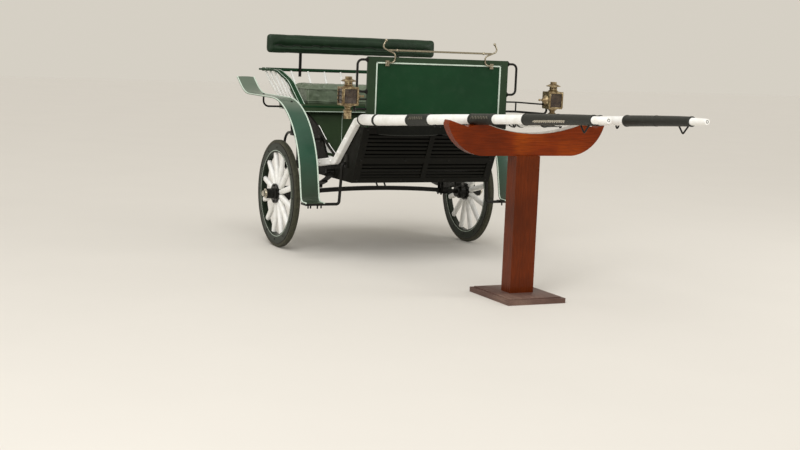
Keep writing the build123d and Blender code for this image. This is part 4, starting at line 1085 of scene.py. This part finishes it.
class CARRIAGE_OT_undergear_trim(bpy.types.Operator):
    """U-bolts, leaf clips, shackle nuts and the middle stays of the axle"""

    bl_idname = "carriage.undergear_trim"
    bl_label = "Undergear trim"

    def execute(self, context):
        _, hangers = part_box("spring_hangers_left")
        for side, sign in SIDES:
            low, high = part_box(f"spring_{side}")
            seat = Vector((AXLE_X, (low.y + high.y) / 2, low.z))
            half = (high.y - low.y) / 2 / MM + 5
            bend = ((half, CLIP_FOOT), (half, CLIP_TOP - 10), (half - 6, CLIP_TOP))
            line = [(-y, z) for y, z in bend] + [(y, z) for y, z in reversed(bend)]
            pieces, nuts = [], []
            for x in (-24, 24):
                pieces.append(tube("clip", [seat + mm(x, y, z) for y, z in line], 5 * MM, round_line=False))
                nuts += [(seat + mm(x, edge * half, CLIP_FOOT + 8), (0, 0, -1)) for edge in ENDS]
            pieces.append(block("plate", seat + mm(0, 0, CLIP_FOOT + 11), (34, half + 8, 3), 1.5))
            finish_piece(join(pieces, f"axle_clips_{side}"), "black_iron")
            turnings(f"axle_clip_nuts_{side}", HEX_NUT, 8, nuts, "black_iron", segments=6)
            self.leaf_clips(side, seat, half)
            x, z = SHACKLE_EYE
            eyes = [(at(end * x, sign * hangers.y / MM, z), (0, sign, 0)) for end in ENDS]
            turnings(f"shackle_nuts_{side}", HEX_NUT, 9, eyes, "black_iron", segments=6)
        stays = [tube("stay", [at(x, y, z) for x, z in MIDDLE_STAY], 6 * MM) for y in (14, 74)]
        finish_piece(join(stays, "axle_middle_stays"), "black_iron")
        return {"FINISHED"}

    def leaf_clips(self, side, seat, half):
        """Bands that hold the leaves together on either side of the axle."""
        reach = LEAF_RADIUS + 14
        clips = []
        for angle in (-0.24, 0.24):
            clip = rounded_block("leaf_clip", mm(-9, -half, -18), mm(9, half, 17))
            clip.rotation_euler = (0, -angle, 0)
            rise = LEAF_RADIUS + 32 - reach * math.cos(angle)
            clip.location = seat + mm(reach * math.sin(angle), 0, rise)
            settle(clip)
            clips.append(clip)
        finish_piece(join(clips, f"leaf_clips_{side}"), "black_iron")


# Body and stand: places in millimetres from the axle, the middle and the floor
FENDER_BOLTS = (150, -400)
STEP_X, STEP_Z = 608, 358
STUD = ((9, 0), (9, 6), (5, 7), (5, 22), (3.5, 24))
STEP_STUDS = ((0, 748), (0, 731), (0, 659), (14, 690))  # ahead of the step, and out
BODY_PLATES = ((608, 495, 636, 54, 84), (150, 495, 740, 42, 42), (-400, 545, 921, 46, 30))  # place, size
STAY_Y, STAY_BOLTS = 381, (1146, 1172)
VALANCE_NAILS = (-440, 0, 440)
VALANCE_DEPTH = 58
TOE_FOOT, TOE_HEAD = Vector((700, 0, 505)), Vector((862, 0, 872))
TOE_BOLTS_Y, TOE_BOLT_ROWS = (-464, -155, 155, 464), (0.045, 0.41, 0.955)  # rows as shares of the slope
# A black board behind the toe slats, as painted shade: share of the slope, and gap behind the slats in
# millimetres
SHADE_BOARD_SHARE, SHADE_BOARD_GAP = 0.58, 24
CRADLE_HALF, CRADLE_SAG, CRADLE_EDGE_Z = 316 * MM, 56.7 * MM, 986 * MM  # the arc under the shafts


class CARRIAGE_OT_fender_trim(bpy.types.Operator):
    """Bolts of the fender stays, step bolts and the plates on the body"""

    bl_idname = "carriage.fender_trim"
    bl_label = "Fender and step trim"

    def execute(self, context):
        for side, sign in SIDES:
            heads = []
            for x in FENDER_BOLTS:
                above = at(x, sign * 700, 1010)
                _, near, normal, _ = frame["nodes"][f"fender_{side}"].closest_point_on_mesh(above)
                heads.append((near, normal))
            turnings(f"fender_bolts_{side}", ROUND_HEAD, 6.5, heads, "hub_black")
            studs = [(at(STEP_X + x, sign * y, STEP_Z), (0, 0, -1)) for x, y in STEP_STUDS]
            turnings(f"step_studs_{side}", STUD, 1, studs, "black_iron", segments=12)
            plates, bolts = [], []
            for x, y, z, long, tall in BODY_PLATES:
                plates.append(block("plate", at(x, sign * (y + 2.5), z), (long / 2, 3, tall / 2)))
                bolts += [(at(x + ahead * 0.34 * long, sign * (y + 5), z + up * 0.3 * tall), (0, sign, 0))
                          for ahead in ENDS for up in ENDS]
            finish_piece(join(plates, f"body_plates_{side}"), "black_iron")
            turnings(f"body_plate_bolts_{side}", ROUND_HEAD, 4, bolts, "hub_black", segments=10)
        return {"FINISHED"}


class CARRIAGE_OT_seat_trim(bpy.types.Operator):
    """Moulding of the seat apron, arm bolts and the bolts of the lazyback stays"""

    bl_idname = "carriage.seat_trim"
    bl_label = "Seat trim"

    def execute(self, context):
        low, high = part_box("seat_board")
        sunk, proud = -0.2 * MM, 3 * MM
        foot, head = high.z - 21 * MM, high.z - 12 * MM
        strips = [rounded_block("strip", (high.x + sunk, low.y, foot), (high.x + proud, high.y, head), 1.2)]
        for _, sign in SIDES:
            strips.append(rounded_block("strip", (low.x, sign * (high.y + sunk), foot),
                                        (high.x, sign * (high.y + proud), head), 1.2))
        finish_piece(join(strips, "seat_moulding"), "coach_green")
        _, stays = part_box("lazyback_stays")
        bolts = []
        for _, sign in SIDES:
            bolts.append((Vector((high.x, sign * high.y, high.z)) - mm(22, 0, 36), (0, sign, 0)))
            bolts += [(Vector((stays.x, sign * STAY_Y * MM, z * MM)), (1, 0, 0)) for z in STAY_BOLTS]
        turnings("seat_bolts", ROUND_HEAD, 5.5, bolts, "hub_black")
        return {"FINISHED"}


class CARRIAGE_OT_toe_trim(bpy.types.Operator):
    """Leather valance below the dash, a black board of painted shade behind the slats, and bolts of the toe
    board
    """

    bl_idname = "carriage.toe_trim"
    bl_label = "Toe board trim"

    def execute(self, context):
        self.valance()
        slope = TOE_HEAD - TOE_FOOT
        facing = Vector((slope.z, 0, -slope.x)).normalized()
        # Painted shade: a black board behind the slats, so the gaps between them read dark
        lining = block("toe_shade_board", Vector(), (1.5, 470, 156), 1)
        lining.rotation_euler = (0, math.atan2(slope.x, slope.z), 0)
        lining.location = at(*(TOE_FOOT + slope * SHADE_BOARD_SHARE - facing * SHADE_BOARD_GAP))
        finish_piece(lining, "slat_black")
        bolts = []
        for share in TOE_BOLT_ROWS:
            spot = TOE_FOOT + slope * share
            bolts += [(at(spot.x, y, spot.z), facing) for y in TOE_BOLTS_Y]
        turnings("toe_bolts", ROUND_HEAD, 5.5, bolts, "black_iron")
        return {"FINISHED"}

    def valance(self):
        """Two lengths of leather that belly out between their nails, each with a hem."""
        low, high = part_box("splinter_bar")
        bar = Vector((high.x, 0, low.z))
        strips, hems = [], []
        for start, end in zip(VALANCE_NAILS, VALANCE_NAILS[1:]):
            def shape(u, v, start=start, end=end):
                """A place on the leather, from its share across and down."""
                sag = 4 * u * (1 - u)
                depth = (0.8 + 0.2 * sag ** 0.5) * VALANCE_DEPTH
                return bar + mm(2.5 + 7 * sag * v, start + (end - start) * u, 12 - v * depth)
            strips.append(sheet_piece("swag", 24, 6, shape, 4 * MM))
            edge = [shape(u, 1.0) + mm(1, 0, 0) for u in np.linspace(0.04, 0.96, 24)]
            hems.append(tube("hem", edge, 1.8 * MM))
        finish_piece(join(strips, "toe_valance"), "valance_leather", smooth=60)
        finish_piece(join(hems, "valance_hem"), "leather_wrap", smooth=60)
        nails = [(bar + mm(2, y, 8), (1, 0, 0)) for y in VALANCE_NAILS]
        turnings("valance_nails", ROUND_HEAD, 6, nails, "hub_black")


class CARRIAGE_OT_stand_trim(bpy.types.Operator):
    """A pale strip of painted highlight on the cradle, and the stepped top of the base"""

    bl_idname = "carriage.stand_trim"
    bl_label = "Stand trim"

    def execute(self, context):
        low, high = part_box("stand_cradle")
        radius = (CRADLE_HALF ** 2 + CRADLE_SAG ** 2) / (2 * CRADLE_SAG)

        def shape(u, v):
            """A place on the pale strip, from its share across the cradle and through it."""
            y = (2 * u - 1) * 0.93 * CRADLE_HALF
            z = CRADLE_EDGE_Z - CRADLE_SAG + radius - math.sqrt(radius ** 2 - y ** 2)
            x = low.x - 1 * MM + v * (high.x - low.x + 2 * MM)
            return Vector((x, y, z + 1.2 * MM))
        # The pale strip is painted highlight along the cradle's top edge
        finish_piece(sheet_piece("cradle_highlight_strip", 40, 8, shape, 3 * MM), "cradle_highlight")
        low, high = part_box("stand_base")
        top = Vector((low.x, low.y, high.z))
        step = rounded_block("base_step", top + mm(18, 18, -1), high + mm(-18, -18, 6), 2.5)
        finish_piece(step, "base_wood")
        return {"FINISHED"}


# Stage
FLOOR_COLOUR = "DEDAD2"
FILL_COLOUR = "F6F1E9"
BACK_COLOUR = "E2DCD0"
LIGHT_TARGET = (0, 0, 0.7)
CAMERA_PLACE = (8.793, -4.037, 1.431)
CAMERA_HEADING = 2.693
CAMERA_PITCH = 0.133
CAMERA_ROLL = 0.041
CAMERA_FOCAL_PIXELS = 1401
PHOTO_WIDTH = 800
SENSOR = 36


def make_camera():
    """A camera where the photograph was taken from."""
    heading, pitch, roll = CAMERA_HEADING, CAMERA_PITCH, CAMERA_ROLL
    level = Vector((math.sin(heading), -math.cos(heading), 0))
    ahead = Vector((math.cos(heading), math.sin(heading), 0))
    look = ahead * math.cos(pitch) - Vector((0, 0, math.sin(pitch)))
    rise = level.cross(look)
    right = level * math.cos(roll) + rise * math.sin(roll)
    up = rise * math.cos(roll) - level * math.sin(roll)
    data = bpy.data.cameras.new("photo_camera")
    data.sensor_width = SENSOR
    data.lens = CAMERA_FOCAL_PIXELS / PHOTO_WIDTH * SENSOR
    camera = bpy.data.objects.new("photo_camera", data)
    bpy.context.scene.collection.objects.link(camera)
    place = Vector(CAMERA_PLACE) + Vector((AXLE_X, 0, 0))
    turn = Matrix((right, up, -look)).transposed().to_4x4()
    camera.matrix_world = Matrix.Translation(place) @ turn
    bpy.context.scene.camera = camera


def make_light(name, kind, **settings):
    """A light in the scene with its settings."""
    data = bpy.data.lights.new(name, kind)
    for key, value in settings.items():
        setattr(data, key, value)
    light = bpy.data.objects.new(name, data)
    bpy.context.scene.collection.objects.link(light)
    return light


def make_lights():
    """Even light from above, with a soft key in front and a softer light from the side."""
    ceiling = make_light("ceiling", "SUN", energy=1.2, angle=math.radians(40))
    ceiling.rotation_euler = (math.radians(14), math.radians(22), 0)
    for name, place, size, power in (("key", (6.3, -6.3, 5.9), 3.4, 320), ("side", (3, 5, 3), 2.0, 60)):
        light = make_light(name, "AREA", size=size, energy=power)
        light.location = place
        light.rotation_euler = (Vector(LIGHT_TARGET) - Vector(place)).to_track_quat("-Z", "Y").to_euler()


def floor_finish():
    """Matt studio floor, pale and even, that keeps the shadow."""
    dark = shade(FLOOR_COLOUR, 0.985)
    return mottled("Studio floor paint", {"Roughness": 0.75}, (0.8, 2), dark, FLOOR_COLOUR)


def make_world(scene):
    """Soft fill light, and a plain backdrop for the camera and for mirrors and glass."""
    world = bpy.data.worlds.new("Studio world")
    scene.world = world
    world.use_nodes = True
    tree = world.node_tree
    tree.nodes.clear()
    rays = add_node(tree, "LightPath").outputs
    seen = rays["Is Camera Ray"]
    for kind in ("Is Glossy Ray", "Is Transmission Ray"):
        seen = add_node(tree, "Math", {0: seen, 1: rays[kind]}, operation="MAXIMUM").outputs[0]
    fill = add_node(tree, "Background", {"Color": srgb(FILL_COLOUR), "Strength": 0.6})
    back = add_node(tree, "Background", {"Color": srgb(BACK_COLOUR), "Strength": 0.88})
    both = add_node(tree, "MixShader", {0: seen, 1: fill.outputs[0], 2: back.outputs[0]})
    add_node(tree, "OutputWorld", {"Surface": both.outputs[0]})


class CARRIAGE_OT_stage(bpy.types.Operator):
    """Floor, light, background and camera"""

    bl_idname = "carriage.stage"
    bl_label = "Studio stage"

    def execute(self, context):
        context.scene.view_settings.view_transform = "Standard"
        deselect()
        bpy.ops.mesh.primitive_plane_add(size=60, location=(0, 0, 0))
        floor = named("studio_floor")
        settle(floor)
        floor.data.materials.append(floor_finish().material)
        make_world(context.scene)
        make_lights()
        make_camera()
        return {"FINISHED"}


# Panel and registration
STEPS = (
    CARRIAGE_OT_paint_frame,
    CARRIAGE_OT_seat_cushion,
    CARRIAGE_OT_lazyback,
    CARRIAGE_OT_dash_trim,
    CARRIAGE_OT_lamp_trim,
    CARRIAGE_OT_shaft_trim,
    CARRIAGE_OT_wheel_trim,
    CARRIAGE_OT_undergear_trim,
    CARRIAGE_OT_fender_trim,
    CARRIAGE_OT_seat_trim,
    CARRIAGE_OT_toe_trim,
    CARRIAGE_OT_stand_trim,
    CARRIAGE_OT_stage,
)


class VIEW3D_PT_carriage(bpy.types.Panel):
    """Lists the steps of the dressing"""

    bl_idname = "VIEW3D_PT_carriage"
    bl_label = "Carriage"
    bl_space_type = "VIEW_3D"
    bl_region_type = "UI"
    bl_category = "Carriage"

    def draw(self, context):
        for step in STEPS:
            self.layout.operator(step.bl_idname)
        for group in (context.scene.carriage_sizes, context.scene.carriage_colours):
            for key in group.__annotations__:
                self.layout.prop(group, key)


CLASSES = (CarriageSizes, CarriageColours, VIEW3D_PT_carriage) + STEPS


def register():
    """Register the classes and their settings."""
    for item in CLASSES:
        bpy.utils.register_class(item)
    bpy.types.Scene.carriage_sizes = bpy.props.PointerProperty(type=CarriageSizes)
    bpy.types.Scene.carriage_colours = bpy.props.PointerProperty(type=CarriageColours)


def unregister():
    """Remove the classes and their settings."""
    del bpy.types.Scene.carriage_sizes
    del bpy.types.Scene.carriage_colours
    for item in reversed(CLASSES):
        bpy.utils.unregister_class(item)


def main():
    """Register the dressing and run its steps."""
    register()
    for step in STEPS:
        group, name = step.bl_idname.split(".")
        getattr(getattr(bpy.ops, group), name)()


if __name__ == "__main__":
    main()
